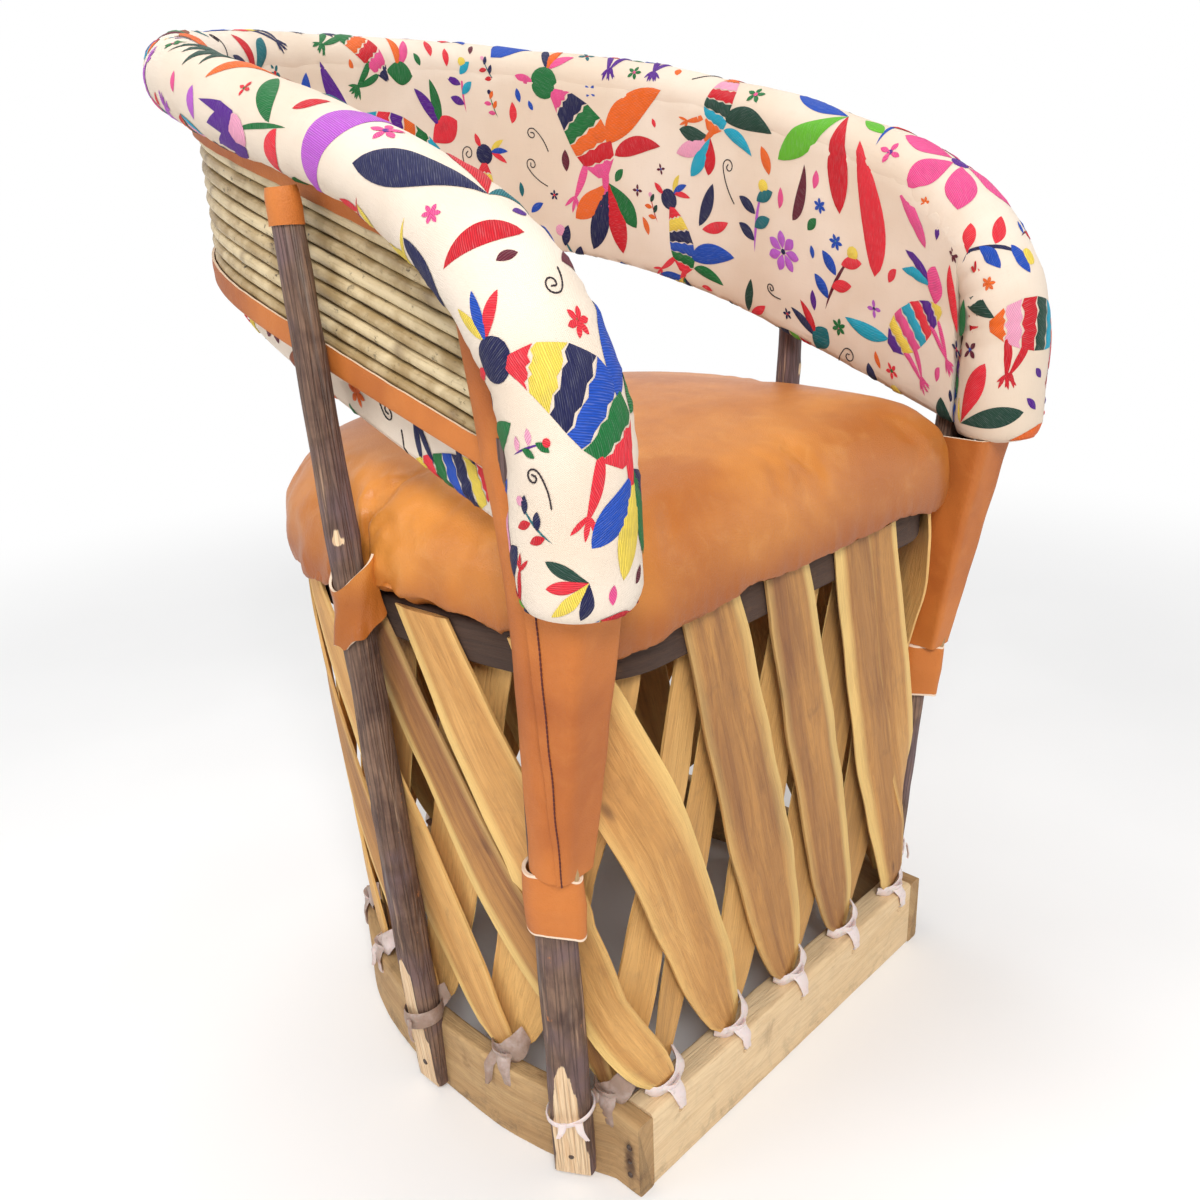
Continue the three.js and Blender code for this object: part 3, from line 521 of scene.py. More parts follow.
def barkPaint():
    made, start = paint("bark pole")
    place = start.mapPlace()
    where = start.objectPlace()
    tone = start.attribute("tone")
    lines = place.stretched(520, 26).moved((3, 1, 0)).cloud(1, 4, 0.65, 0.6)
    furrows = place.stretched(240, 11).cells(1, "DISTANCE_TO_EDGE").rise(0.0, 0.12, 1, 0)
    patches = where.cloud(30, 4, 0.6, 0.4)
    colour = (lines + patches - 0.5).rise(0.22, 0.78).blend(dye(74, 50, 42), dye(134, 104, 84))
    colour = (where.cloud(13, 3, 0.6) + tone * 0.1).rise(0.52, 0.7).blend(colour, dye(110, 86, 86))
    # The furrows darken partly as the cracks' own darker bark and partly as painted shade inside the cracks
    colour = (furrows * lines.rise(0.3, 0.6) * 0.5).blend(colour, dye(40, 27, 24))
    pale = place.stretched(150, 9).moved((1, 5, 0)).cloud(1, 4, 0.6).rise(0.6, 0.72)
    colour = (pale * 0.55).blend(colour, dye(184, 150, 122))
    flakes = where.cloud(64, 3, 0.7).rise(0.66, 0.72) * lines.rise(0.4, 0.6)
    colour = (flakes * 0.8).blend(colour, dye(190, 120, 70))
    grey = place.stretched(60, 7).cloud(1, 3).rise(0.58, 0.78) * 0.5
    colour = grey.blend(colour, dye(156, 148, 142))
    bare = start.attribute("bare")
    ragged = (bare + (lines - 0.5) * 0.5).rise(0.35, 0.5)
    woodLines = place.stretched(760, 18).cloud(1, 4, 0.6, 0.3)
    fresh = woodLines.rise(0.25, 0.8).blend(dye(240, 214, 176), dye(206, 162, 118))
    fresh = (where.cloud(46, 4, 0.7).rise(0.6, 0.75) * 0.5).blend(fresh, dye(176, 140, 128))
    colour = ragged.blend(colour, fresh)
    height = lines * 0.8 - furrows * 0.5 + patches * 0.5 - ragged * lines * 0.5
    return coat(made, start, colour, lines * 0.2 + 0.6, height, 0.0014)


def canePaint():
    made, start = paint("cane")
    place = start.mapPlace()
    where = start.objectPlace()
    tone = start.attribute("tone")
    lines = place.stretched(700, 22).cloud(1, 3, 0.6)
    blotch = where.cloud(46, 4, 0.6, 0.3)
    colour = (blotch + tone * 0.35 - 0.2).rise(0.25, 0.75).blend(dye(214, 194, 154), dye(158, 132, 88))
    colour = (lines.rise(0.5, 0.8) * 0.45).blend(colour, dye(120, 96, 62))
    specks = where.cloud(190, 4, 0.7).rise(0.6, 0.68)
    clumps = where.cloud(24, 2, 0.5).rise(0.46, 0.62)
    colour = (specks * clumps * 0.95).blend(colour, dye(48, 34, 22))
    joint = start.attribute("joint")
    colour = (joint * 0.6).blend(colour, dye(96, 70, 44))
    return coat(made, start, colour, lines * 0.2 + 0.36, lines * 0.6 + specks * 0.5, 0.0007)


def leatherPaint(name, deep, middle, light, gloss, under=None):
    made, start = paint(name)
    where = start.objectPlace()
    broad = where.cloud(7, 4, 0.55, 0.3)
    pull = where.cloud(38, 4, 0.6, 0.8)
    pores = where.cells(900)
    grain = where.cloud(420, 3, 0.6)
    colour = broad.rise(0.32, 0.68).blend(deep, middle)
    colour = (pull.rise(0.5, 0.8) * 0.16).blend(colour, light)
    colour = (pores.rise(0.0, 0.35, 1, 0) * 0.3).blend(colour, deep)
    wear = start.attribute("wear")
    colour = (wear * 0.75).blend(colour, dye(116, 66, 30))
    # Painted shade: below the height range in under, the seat leather darkens to a deeper brown, as its lower
    # side is in shade
    if under:
        low = where.part(2).rise(under[0], under[1], 1, 0)
        colour = (low * 0.8).blend(colour, dye(150, 78, 26))
    raw = start.attribute("raw")
    colour = (raw * 0.85).blend(colour, dye(240, 220, 196))
    scuffs = where.stretched(1, 1, 3).cloud(120, 4, 0.8).rise(0.7, 0.76) * 0.4
    colour = scuffs.blend(colour, light)
    height = pores * 0.3 + grain * 0.35 + pull * 0.45
    return coat(made, start, colour, gloss + grain * 0.16 + raw * 0.3, height, 0.0006,
                {"Specular IOR Level": 0.36})


def clothPaint():
    made, start = paint("cotton")
    place = start.mapPlace()
    where = start.objectPlace()
    size = 1050
    warp = start.maths("SINE", place.part(0) * (2 * math.pi * size))
    weft = start.maths("SINE", place.part(1) * (2 * math.pi * size))
    weave = warp * weft * 0.5 + 0.5
    slub = place.stretched(1800, 90).cloud(1, 2) + place.stretched(90, 1800).cloud(1, 2)
    colour = where.cloud(9, 3).rise(0.3, 0.7).blend(dye(240, 225, 208), dye(228, 208, 186))
    colour = (weave * 0.14 + slub.rise(1.0, 1.5) * 0.2).blend(colour, dye(196, 172, 146))
    height = weave * 0.6 + slub * 0.3
    return coat(made, start, colour, 0.9, height, 0.00035, {"Sheen Weight": 0.12})


def threadPaint():
    made, start = paint("embroidery thread")
    place = start.mapPlace()
    rows = start.maths("SINE", place.part(0) * 5600 + place.stretched(260, 40).cloud(1, 2) * 7) * 0.5 + 0.5
    runs = place.stretched(2600, 120).cloud(1, 2)
    patchy = start.objectPlace().cloud(70, 3, 0.6)
    # Painted shade: the thread darkens in the grooves between the stitch rows, with random darker runs and
    # patches on top
    dark = (1 - rows) * 0.34 + runs.rise(0.55, 0.8) * 0.25 + patchy.rise(0.5, 0.8) * 0.12
    colour = dark.blend(start.attribute("dye", 0), (0.012, 0.01, 0.012, 1))
    # Painted highlight: white sheen laid along the tops of the stitch rows
    paintedSheen = (rows * runs.rise(0.45, 0.7) * 0.1).blend(colour, (1, 1, 1, 1))
    return coat(made, start, paintedSheen, 0.7 - rows * 0.16, rows * 0.6 + runs * 0.5, 0.0005,
                {"Specular IOR Level": 0.3})


def plainThread(name, colour, other):
    made, start = paint(name)
    where = start.objectPlace()
    shade = where.cloud(900, 2, 0.5).rise(0.3, 0.7).blend(colour, other)
    return coat(made, start, shade, 0.75, where.cloud(2600, 2), 0.0003)


def rawhidePaint():
    made, start = paint("rawhide")
    where = start.objectPlace()
    tone = start.attribute("tone")
    cloudy = where.cloud(60, 4, 0.6)
    colour = (cloudy + tone - 0.5).rise(0.2, 0.9).blend(dye(228, 212, 208), dye(150, 124, 108))
    colour = (where.cloud(240, 3).rise(0.6, 0.8) * 0.4).blend(colour, dye(120, 90, 76))
    return coat(made, start, colour, cloudy * 0.3 + 0.35, cloudy + where.cloud(400, 2) * 0.4, 0.0008,
                {"Subsurface Weight": 0.12, "Subsurface Scale": 0.003})


def ironPaint():
    made, start = paint("rusty iron")
    where = start.objectPlace()
    rust = where.cloud(300, 4, 0.7)
    colour = rust.rise(0.35, 0.65).blend(dye(92, 84, 78), dye(74, 44, 28))
    return coat(made, start, colour, rust * 0.4 + 0.4, rust, 0.0005, {"Metallic": 0.55})


bark = barkPaint()
cane = canePaint()
# the seat leather's last pair is the height range of its painted shade below the crown
seatLeather = leatherPaint("seat leather", dye(172, 98, 34), dye(208, 134, 58), dye(240, 184, 112), 0.3,
                           (0.438, 0.476))
strapLeather = leatherPaint("strap leather", dye(160, 84, 32), dye(198, 116, 50), dye(224, 150, 80), 0.5)
cotton = clothPaint()
thread = threadPaint()
rawhide = rawhidePaint()
iron = ironPaint()
darkThread = plainThread("seam thread", dye(98, 28, 22), dye(64, 20, 18))
blackThread = plainThread("dark thread", dye(44, 26, 34), dye(22, 16, 24))
print("materials done")


# Base board and hoop

board = {"length": 0.368, "height": 0.067, "thickness": 0.025, "edge": 0.0028, "holeBelow": 0.017,
         "holesAt": (-0.152, -0.073, 0.006, 0.085, 0.164), "holeRadius": 0.0032}
hoop = {"wall": 0.016, "height": 0.066, "half": 0.226, "widestAt": 0.15, "backAt": 0.437, "squareness": 2.55,
        "frontHalf": 0.2003, "frontAt": 0, "straight": 0.025, "edge": 0.003, "stations": 190}
ties = {"frontPitch": 0.08, "sideFrom": 0.038, "sidePitch": 0.087, "sideCount": 4, "backCount": 3}
slat = {"width": 0.066, "widthVaries": 0.006, "thickness": 0.005, "baseInset": 0.013, "baseCorner": 0.03,
        "parting": 0.0032, "lean": 0.104, "lift": 0.0062, "topBelow": 0.0015, "roomShare": 0.93,
        "widestShare": 0.42, "lifts": [0, 0.9, 1, 0.35, 0, 0, 0], "tuckedShare": 0.86, "cornerTie": 2,
        "outerWave": 1.3, "innerWave": 1.7,
        "heights": [0, 0.07, 0.2, 0.42, 0.66, 0.91, 1], "shares": [0.34, 0.66, 0.9, 1, 0.98, 0.9, 0.82],
        "outerLeans": [1, 1.32, 1.52, 1.78, 1.72, 1.66, 1.6, 1.53, 1.46, 1.39, 1.32, 1.25, 1.18, 1.12, 1.06,
                       1, 0.96, 0.96, 0.97], "stations": 40, "faceCount": 9}

hoopPlan = Plan(openPlan(hoop))
slatPlan = Plan(closedPlan({**hoop, "half": hoop["half"] - slat["baseInset"],
                            "frontHalf": hoop["frontHalf"] - slat["baseInset"],
                            "frontAt": slat["baseInset"], "backAt": hoop["backAt"] - slat["baseInset"],
                            "corner": slat["baseCorner"]}), True)


def tieDistances():
    sides = [slatPlan.distanceAt(ties["sideFrom"] + ties["sidePitch"] * i) for i in range(ties["sideCount"])]
    middle = slatPlan.length / 2
    pitch = (middle - sides[-1]) / (ties["backCount"] + 0.5)
    sides += [sides[-1] + pitch * (i + 1) for i in range(ties["backCount"])]
    half = [ties["frontPitch"], 2 * ties["frontPitch"], *sides]
    return [0, *half, *[slatPlan.length - d for d in reversed(half)]]


# A rectangle with eased corners, as [across, height] pairs
def easedRectangle(left, right, low, high, edge, steps=3, middles=3):
    corners = [(right - edge, low + edge), (right - edge, high - edge), (left + edge, high - edge),
               (left + edge, low + edge)]
    row = []
    for n, (x, y) in enumerate(corners):
        nextX, nextY = corners[(n + 1) % 4]
        spots = [(x, y, n - 1 + k / steps) for k in range(steps + 1)]
        for k in range(1, middles + 1):
            spots.append((lerp(x, nextX, k / (middles + 1)), lerp(y, nextY, k / (middles + 1)), n))
        row += [(a + math.cos(turn * math.pi / 2) * edge, b + math.sin(turn * math.pi / 2) * edge)
                for a, b, turn in spots]
    return row


def boardPiece():
    rings = []
    for i in range(71):
        x = lerp(-board["length"] / 2, board["length"] / 2, i / 70)
        ring = []
        for y, z in easedRectangle(0, board["thickness"], 0, board["height"], board["edge"], 3, 5):
            drift = ripple(x, y, z + 5, 0.08) * 0.0008 + ripple(x, y, z, 0.012) * 0.00025
            sideways = drift if y > 0.012 else -0.4 * drift
            ring.append(Vector((x, y + sideways, z + (0.9 * drift if z > 0.03 else 0))))
        rings.append(ring)
    piece = skin("front_board", rings)
    holeHeight = board["height"] - board["holeBelow"]
    holes = [(Vector((x, 0, holeHeight)), Vector((0, 1, 0))) for x in board["holesAt"]]
    drilled(piece, holes, board["holeRadius"], 0.016)
    return finished(toned(smoothed(piece, 35), 0.25), plankPaint, "sawn_plank", "front_board")


boardPiece()


def hoopPiece():
    outline = easedRectangle(-hoop["wall"], 0, 0, hoop["height"], hoop["edge"], 3, 5)
    rings = []
    for i in range(hoop["stations"] + 1):
        distance = hoopPlan.length * i / hoop["stations"]
        ring = []
        for out, z in outline:
            spot = hoopPlan.offset(distance, out, z)
            wave = ripple(spot.x, spot.y, z, 0.09) * 0.0014 + ripple(spot.x, spot.y, z, 0.015) * 0.0003
            ring.append(hoopPlan.offset(distance, out - abs(wave), z + (wave if z > 0.03 else 0)))
        rings.append(ring)
    piece = toned(skin("side_hoop", rings), 0.45)
    return finished(smoothed(piece, 35), hoopPaint, "bent_wood", "side_hoop")


hoopPiece()
print("base done")


# Roll, lining and cane back

roll = {"half": 0.2503, "frontHalf": 0.2471, "frontAt": -0.015, "widestAt": 0.2, "backAt": 0.506,
        "squareness": 2.51, "backHeight": 0.8, "slope": 0.292, "elbowAt": 0.159, "dropsFrom": 0.559,
        "lowerEnd": 0.488, "radius": 0.0253, "frontRadius": 0.0332, "thickShare": 0.2, "thinShare": 0.35,
        "around": 48, "spacing": 0.005, "foldAt": 0.118, "endRound": 0.006}
reeds = {"count": 10, "radius": 0.00485, "pitch": 0.0102, "inset": 0.0092, "below": 0.036, "frontAt": 0.044,
         "sides": 10, "spacing": 0.0065}
lining = {"thickness": 0.01, "backHeight": 0.65, "slope": 0.37, "frontAt": 0.014, "steps": 30,
          "leaves": 0.075, "spacing": 0.0055, "hem": 0.004, "hemRound": 0.0028, "clear": 0.0006}
binding = {"thickness": 0.0022, "upperHeight": 0.015, "lowerHeight": 0.015, "lip": 0.009, "upperShare": 0.1,
           "bend": 0.0016, "spacing": 0.007}

rollPlan = Plan(openPlan(roll))
rollMiddle = rollPlan.length / 2
rollArc = rollMiddle - rollPlan.distanceAt(roll["widestAt"])


def fallingHeight(shape, distance):
    fromMiddle = abs(distance - rollMiddle)
    onArc = min(fromMiddle, rollArc)
    return shape["backHeight"] - shape["slope"] * (onArc ** 2 / (2 * rollArc) + fromMiddle - onArc)


# The roll's centreline from the left arm's lower end to the middle of the back
def halfRollPath():
    elbowDistance = rollPlan.distanceAt(roll["elbowAt"])
    elbowHeight = fallingHeight(roll, elbowDistance)
    a = Vector((roll["frontAt"], roll["dropsFrom"]))
    b = Vector((roll["frontAt"], elbowHeight - roll["slope"] * (roll["elbowAt"] - roll["frontAt"])))
    c = Vector((roll["elbowAt"], elbowHeight))
    flat = [Vector((roll["frontAt"], lerp(roll["lowerEnd"], roll["dropsFrom"], i / 14))) for i in range(14)]
    for i in range(60):
        share = i / 60
        flat.append(a * (1 - share) ** 2 + b * (2 * share * (1 - share)) + c * share ** 2)
    path = []
    for y, z in flat:
        distance = rollPlan.distanceAt(y) if y > roll["frontAt"] else 0
        path.append((rollPlan.offset(distance, 0, z), Vector((-1, 0, 0)), distance))
    for i in range(161):
        distance = lerp(elbowDistance, rollMiddle, i / 160)
        point, out = rollPlan.at(distance)
        path.append((Vector((point.x, point.y, fallingHeight(roll, distance))), out, distance))
    return path


def rollStations():
    half = halfRollPath()
    path = half + [(mirrored(p), mirrored(o), rollPlan.length - d) for p, o, d in reversed(half[:-1])]
    reach = runningLengths([p for p, _, _ in path])
    count = round(reach[-1] / roll["spacing"])
    stations = []
    for i in range(count + 1):
        target = reach[-1] * i / count
        k, share = placeIn(reach, target)
        point = path[k - 1][0].lerp(path[k][0], share)
        out = path[k - 1][1].lerp(path[k][1], share).normalized()
        fromEnd = min(target, reach[-1] - target)
        thinner = (2 * fromEnd / reach[-1] - roll["thickShare"]) / (roll["thinShare"] - roll["thickShare"])
        radius = lerp(roll["frontRadius"], roll["radius"], clamp(thinner))
        distance = lerp(path[k - 1][2], path[k][2], share)
        stations.append((point, out, radius, fromEnd, target, distance))
    return stations


rollRow = rollStations()
rollDistances = [station[5] for station in rollRow[:len(rollRow) // 2 + 1]]


def rollFrame(i):
    before = rollRow[max(i - 1, 0)][0]
    after = rollRow[min(i + 1, len(rollRow) - 1)][0]
    along = (after - before).normalized()
    out = rollRow[i][1]
    side = (out - along * out.dot(along)).normalized()
    return side, along.cross(side), along


# Angle 0 is the outer side and a quarter turn is the top. The rings start at the outer underside.
def rollAngle(k):
    return 2 * math.pi * k / roll["around"] - 0.75 * math.pi


def rollRings():
    rings = []
    for i, (point, _, radius, fromEnd, reach, _) in enumerate(rollRow):
        side, over, _ = rollFrame(i)
        elbow = smooth(0.05, 0.09, fromEnd) * (1 - smooth(0.2, 0.26, fromEnd))
        ring = []
        for k in range(roll["around"]):
            angle = rollAngle(k)
            way = side * math.cos(angle) + over * math.sin(angle)
            spot = point + way * radius
            lumps = ripple(spot.x, spot.y, spot.z, 0.06, 2) * 0.0019
            under = clamp(-math.sin(angle) * 0.5 + 0.5)
            pucker = ripple(reach, angle * 0.01, 3, 0.009) * 0.0016 * under ** 2
            creases = math.sin(fromEnd * 430 + angle * 1.3 + ripple(reach, angle * 0.02, 7, 0.03) * 4)
            inner = clamp(-math.cos(angle) * 0.6 - math.sin(angle) * 0.3 + 0.3)
            foldAt = roll["foldAt"] + 0.006 * math.sin(angle)
            folded = 0.0013 * (1 - smooth(foldAt, foldAt + 0.0025, fromEnd))
            tucked = -0.0035 * (1 - smooth(0, 0.012, fromEnd)) ** 2
            ring.append(point + way * (radius * 0.985 + lumps + pucker + creases * 0.0012 * elbow * inner
                                       + folded + tucked))
        rings.append(ring)
    return rings


def rollPiece():
    rings = rollRings()
    ends = []
    for i in (0, -1):
        centre = rollRow[i][0]
        ends.append([[lerp(centre, p, share) - up * roll["endRound"] * (1 - share ** 3) for p in rings[i]]
                     for share in (0.3, 0.6, 0.82, 0.94)])
    piece = skin("roll_cloth", ends[0] + rings + ends[1][::-1])
    finished(smoothed(piece, 60), cotton, "embroidered_cloth", "arm_roll")
    return rings


rollGrid = rollPiece()
rollReach = [station[4] for station in rollRow]


def rollRadius(distance):
    near = min(distance, rollPlan.length - distance)
    k = clamp(bisect.bisect_left(rollDistances, near), 1, len(rollDistances) - 1)
    return rollRow[k][2]


# Sections swept along the roll's plan from one front end to the other
def sweptRings(startAt, spacing, sectionAt):
    begin = rollPlan.distanceAt(startAt)
    count = round((rollPlan.length - 2 * begin) / spacing)
    rings = []
    for i in range(count + 1):
        distance = lerp(begin, rollPlan.length - begin, i / count)
        rings.append([rollPlan.offset(distance, out, z) for out, z in sectionAt(distance)])
    return rings


rollHeights = sorted((d, p.z) for p, _, d in halfRollPath())


def rollHeight(distance):
    near = min(distance, rollPlan.length - distance)
    k = clamp(bisect.bisect_left(rollHeights, (near, 0)), 1, len(rollHeights) - 1)
    a, b = rollHeights[k - 1], rollHeights[k]
    return b[1] if b[0] - a[0] < 1e-6 else lerp(a[1], b[1], (near - a[0]) / (b[0] - a[0]))


liningBack = -reeds["inset"] - reeds["radius"] - lining["clear"]


# The inner face of the lining, from the roll's innermost line down to the hem, as [outward, height].
# At the top it leaves the roll's cloth smoothly, as one cloth that covers both.
def liningFace(distance):
    rollOut = rollRadius(distance) * 0.985
    base = lining["thickness"] - liningBack
    top = rollHeight(distance)
    bottom = fallingHeight(lining, distance) + lining["hem"]
    row = []
    for k in range(lining["steps"] + 1):
        share = k / lining["steps"]
        z = lerp(top, bottom, share)
        below = top - z
        wave = ripple(distance, z, 2, 0.07, 2) * 0.0022 * smooth(0.01, 0.05, below)
        tug = ripple(distance, share, 9, 0.014) * 0.0011 * smooth(0.8, 1, share)
        puff = 0.0022 * math.sin(math.pi * share) ** 0.5
        start = 0.0014 * (1 - smooth(0, 0.004, below))
        inward = lerp(rollOut + 0.0004, base + puff, smooth(0, lining["leaves"], below))
        row.append((-inward + start - wave + tug + 0.0022 * share ** 8, z))
    return row


def liningPiece():
    def section(distance):
        row = liningFace(distance)
        top = row[0][1]
        bottom = row[-1][1] - lining["hem"]
        frayed = bottom - 0.001 + ripple(distance, 0, 4, 0.01) * 0.0008
        return row + [(row[-1][0] + lining["hemRound"], frayed), (liningBack - 0.003, bottom - 0.001),
                      (liningBack, bottom + 0.004), (liningBack, lerp(top, bottom, 0.5)), (liningBack, top)]

    piece = skin("lining_cloth", sweptRings(lining["frontAt"] + 0.001, lining["spacing"], section))
    finished(smoothed(piece, 60), cotton, "embroidered_cloth", "back_lining")


liningPiece()


def reedPiece():
    half = []
    joints = []
    tones = []
    begin = rollPlan.distanceAt(reeds["frontAt"])
    count = round((rollPlan.length - 2 * begin) / reeds["spacing"])
    for n in range(reeds["count"]):
        chance = random.Random(40 + n)
        marks = []
        mark = chance.uniform(0.02, 0.16)
        while mark < rollPlan.length:
            marks.append(mark)
            mark += chance.uniform(0.13, 0.24)
        rings = []
        for i in range(count + 1):
            distance = lerp(begin, rollPlan.length - begin, i / count)
            joint = max([math.exp(-((distance - m) / 0.0042) ** 2) for m in marks] + [0])
            wander = ripple(distance, n, 5, 0.09) * 0.0009
            z = fallingHeight(roll, distance) - reeds["below"] - (n + 0.5) * reeds["pitch"] + wander
            out = -reeds["inset"] + ripple(distance, n, 8, 0.12) * 0.0008
            radius = reeds["radius"] * (0.93 + 0.05 * ripple(distance, n, 2, 0.05)) + joint * 0.0005
            centre, outward = rollPlan.at(distance)
            ring = []
            for k in range(reeds["sides"]):
                angle = 2 * math.pi * k / reeds["sides"]
                bumpy = radius * (1 + 0.05 * ripple(distance, angle * 0.01, n, 0.006))
                ring.append(Vector((centre.x, centre.y, z)) + outward * (out + math.cos(angle) * bumpy)
                            + up * math.sin(angle) * bumpy)
                joints.append(joint)
                tones.append(chance.uniform(0, 0.02) + (n * 0.37) % 1)
            rings.append(ring)
        half.append(skin("reed", rings))
    piece = joined("reed_panel", half)
    pointValues(piece, "joint", joints)
    pointValues(piece, "tone", tones)
    return finished(smoothed(piece, 50), cane, "cane", "reed_panel")


reedPiece()


def bindingPieces():
    thickness = binding["thickness"]
    out = reeds["radius"] - reeds["inset"] + 0.0004 + thickness
    begin = reeds["frontAt"] + 0.001
    away = Vector((0, 0.2, 0.7))

    def upper(distance):
        line = fallingHeight(roll, distance)
        top = line - roll["radius"] * 0.72
        low = line - reeds["below"] - binding["upperHeight"] * binding["upperShare"]
        row = []
        for k in range(7):
            z = lerp(top, low, k / 6) + (ripple(distance, 0, 6, 0.02) * 0.0012 if k > 3 else 0)
            row.append((out + ripple(distance, z, 4, 0.03) * 0.0007, z))
        return row

    def lower(distance):
        foot = fallingHeight(roll, distance) - reeds["below"] - reeds["count"] * reeds["pitch"] - 0.0004
        bend = binding["bend"]
        under = foot - thickness
        edge = foot + binding["lowerHeight"] + ripple(distance, 0, 1, 0.02) * 0.001
        return [(out, edge), (out + 0.0004, foot + 0.009), (out, foot + 0.003), (out, foot),
                (out - bend * 0.4, under + bend * 0.4), (out - bend * 1.4, under),
                (out - thickness - binding["lip"] * 0.5, under), (out - thickness - binding["lip"], under)]

    strapPiece("upper_binding", sweptRings(begin, binding["spacing"], upper), thickness, away, degrees=40)
    rows = sweptRings(begin, binding["spacing"], lower)
    strapPiece("lower_binding", rows, thickness * 0.8, away, degrees=40)


bindingPieces()
print("back done")


# Embroidery

threads = {
    "red": dye(214, 14, 34), "coral": dye(240, 44, 60), "pink": dye(244, 84, 150),
    "blush": dye(250, 170, 200), "orange": dye(246, 108, 24), "yellow": dye(250, 220, 84),
    "lime": dye(104, 192, 40), "green": dye(8, 112, 50), "forest": dye(12, 62, 46),
    "teal": dye(0, 108, 116), "aqua": dye(20, 170, 200), "blue": dye(14, 76, 186), "navy": dye(14, 18, 72),
    "purple": dye(88, 14, 142), "maroon": dye(100, 10, 38), "brown": dye(142, 70, 26),
    "lilac": dye(196, 96, 212),
}
stitching = {"grid": 0.0034, "edge": 0.0028, "height": 0.0009, "cell": 0.0034, "seed": 11, "curls": 34}


# A cloth with rows of points across it. The first coordinate runs across from the top line, outer side
# negative, and the second runs along from the left front end.
class Cloth:
    def __init__(self, rows, middles, reach):
        self.rows = rows
        self.reach = reach
        self.across = []
        for row, middle in zip(rows, middles):
            lengths = runningLengths(row)
            self.across.append([d - lengths[middle] for d in lengths])

    def limits(self, v):
        i = clamp(bisect.bisect_left(self.reach, v), 0, len(self.reach) - 1)
        return self.across[i][0], self.across[i][-1]

    def inRow(self, i, u):
        k, share = placeIn(self.across[i], u)
        return self.rows[i][k - 1].lerp(self.rows[i][k], clamp(share))

    def point(self, u, v):
        i, share = placeIn(self.reach, v)
        return self.inRow(i - 1, u).lerp(self.inRow(i, u), clamp(share))

    def lifted(self, u, v, lift):
        step = 0.002
        across = self.point(u + step, v) - self.point(u - step, v)
        along = self.point(u, v + step) - self.point(u, v - step)
        return self.point(u, v) + across.cross(along).normalized() * lift


def wholeCloth():
    rows = []
    middles = []
    outer, top, inner = (round(share / 2 * roll["around"]) for share in (0.3, 1.25, 1.75))
    for ring, (_, _, _, fromEnd, _, distance) in zip(rollGrid, rollRow):
        if fromEnd < 0.115:
            rows.append(ring)
            middles.append(top)
            continue
        face = liningFace(distance)
        low = face[-1][1] - lining["hem"]
        face += [(face[-1][0] + lining["hemRound"], low - 0.001), (liningBack - 0.003, low - 0.001),
                 (liningBack, low + 0.004), (liningBack, low + 0.02), (liningBack, low + 0.034)]
        rows.append(ring[outer:inner] + [rollPlan.offset(distance, out, z) for out, z in face[3:]])
        middles.append(top - outer)
    return Cloth(rows, middles, rollReach)


cloth = wholeCloth()


# Shapes are closed outlines in millimetres, drawn upright from the origin

def leaf(length, width, bend=0.0, full=1.0, steps=14, wavy=0.0):
    left, right = [], []
    for i in range(steps + 1):
        t = i / steps
        half = width / 2 * math.sin(math.pi * t ** full) ** 0.8
        half *= 1 + wavy * math.sin(t * steps * 1.9)
        middle = Vector((bend * length * t * t, length * t))
        along = Vector((2 * bend * t, 1)).normalized()
        side = Vector((along.y, -along.x))
        left.append(middle - side * half)
        right.append(middle + side * half)
    return left[:-1] + right[:0:-1]


def disc(radius, steps=14):
    return [Vector((math.cos(2 * math.pi * i / steps), math.sin(2 * math.pi * i / steps))) * radius
            for i in range(steps)]


def moved(outline, x=0.0, y=0.0, turn=0.0):
    c, n = math.cos(math.radians(turn)), math.sin(math.radians(turn))
    return [Vector((p.x * c - p.y * n + x, p.x * n + p.y * c + y)) for p in outline]


# A leaf cut across into bands with wavy borders
def bands(length, width, bend, count, full=0.8):
    def edge(t, side):
        half = width / 2 * math.sin(math.pi * clamp(t, 0.02, 0.98) ** full) ** 0.7
        along = Vector((2 * bend * t, 1)).normalized()
        return Vector((bend * length * t * t, length * t)) + Vector((along.y, -along.x)) * half * side
    pieces = []
    for n in range(count):
        a, b = n / count + 0.01, (n + 1) / count - 0.006
        low, high = [], []
        for k in range(9):
            side = k / 4 - 1
            wave = 0.013 * math.sin(k * 2.4 + n)
            low.append(edge(a + wave * (n > 0), side))
            high.append(edge(b + wave, side))
        pieces.append(low + high[::-1])
    return pieces


def tulip(width, height, points=4):
    row = [Vector((0, 0)), Vector((width * 0.3, height * 0.08)), Vector((width * 0.46, height * 0.4))]
    for i in range(points):
        x = width * (0.5 - i / (points - 1))
        row.append(Vector((x * 1.08, height * (1 - 0.12 * (i % 2)))))
        if i < points - 1:
            row.append(Vector((x * 0.9 - width * 0.42 / (points - 1), height * 0.55)))
    return row + [Vector((-width * 0.46, height * 0.4)), Vector((-width * 0.3, height * 0.08))]


def paw(length, bend):
    return [moved(leaf(length, length * 0.2, bend, 0.7), 0, 0)] + [
        moved(leaf(length * 0.42, length * 0.09, 0), bend * length * 0.8, length * 0.86, turn)
        for turn in (-34, 0, 30)]


# Each motif gives [outline, colour] pairs from a list of colours

def flower(chance, tones):
    count = chance.choice((6, 7, 8))
    size = chance.uniform(19, 26)
    parts = [(moved(leaf(size, size * 0.56, 0, 1.25), *(disc(4, count)[i]), 360 * i / count - 90), tones[0])
             for i in range(count)]
    return parts + [(disc(4.2, 10), tones[1])]


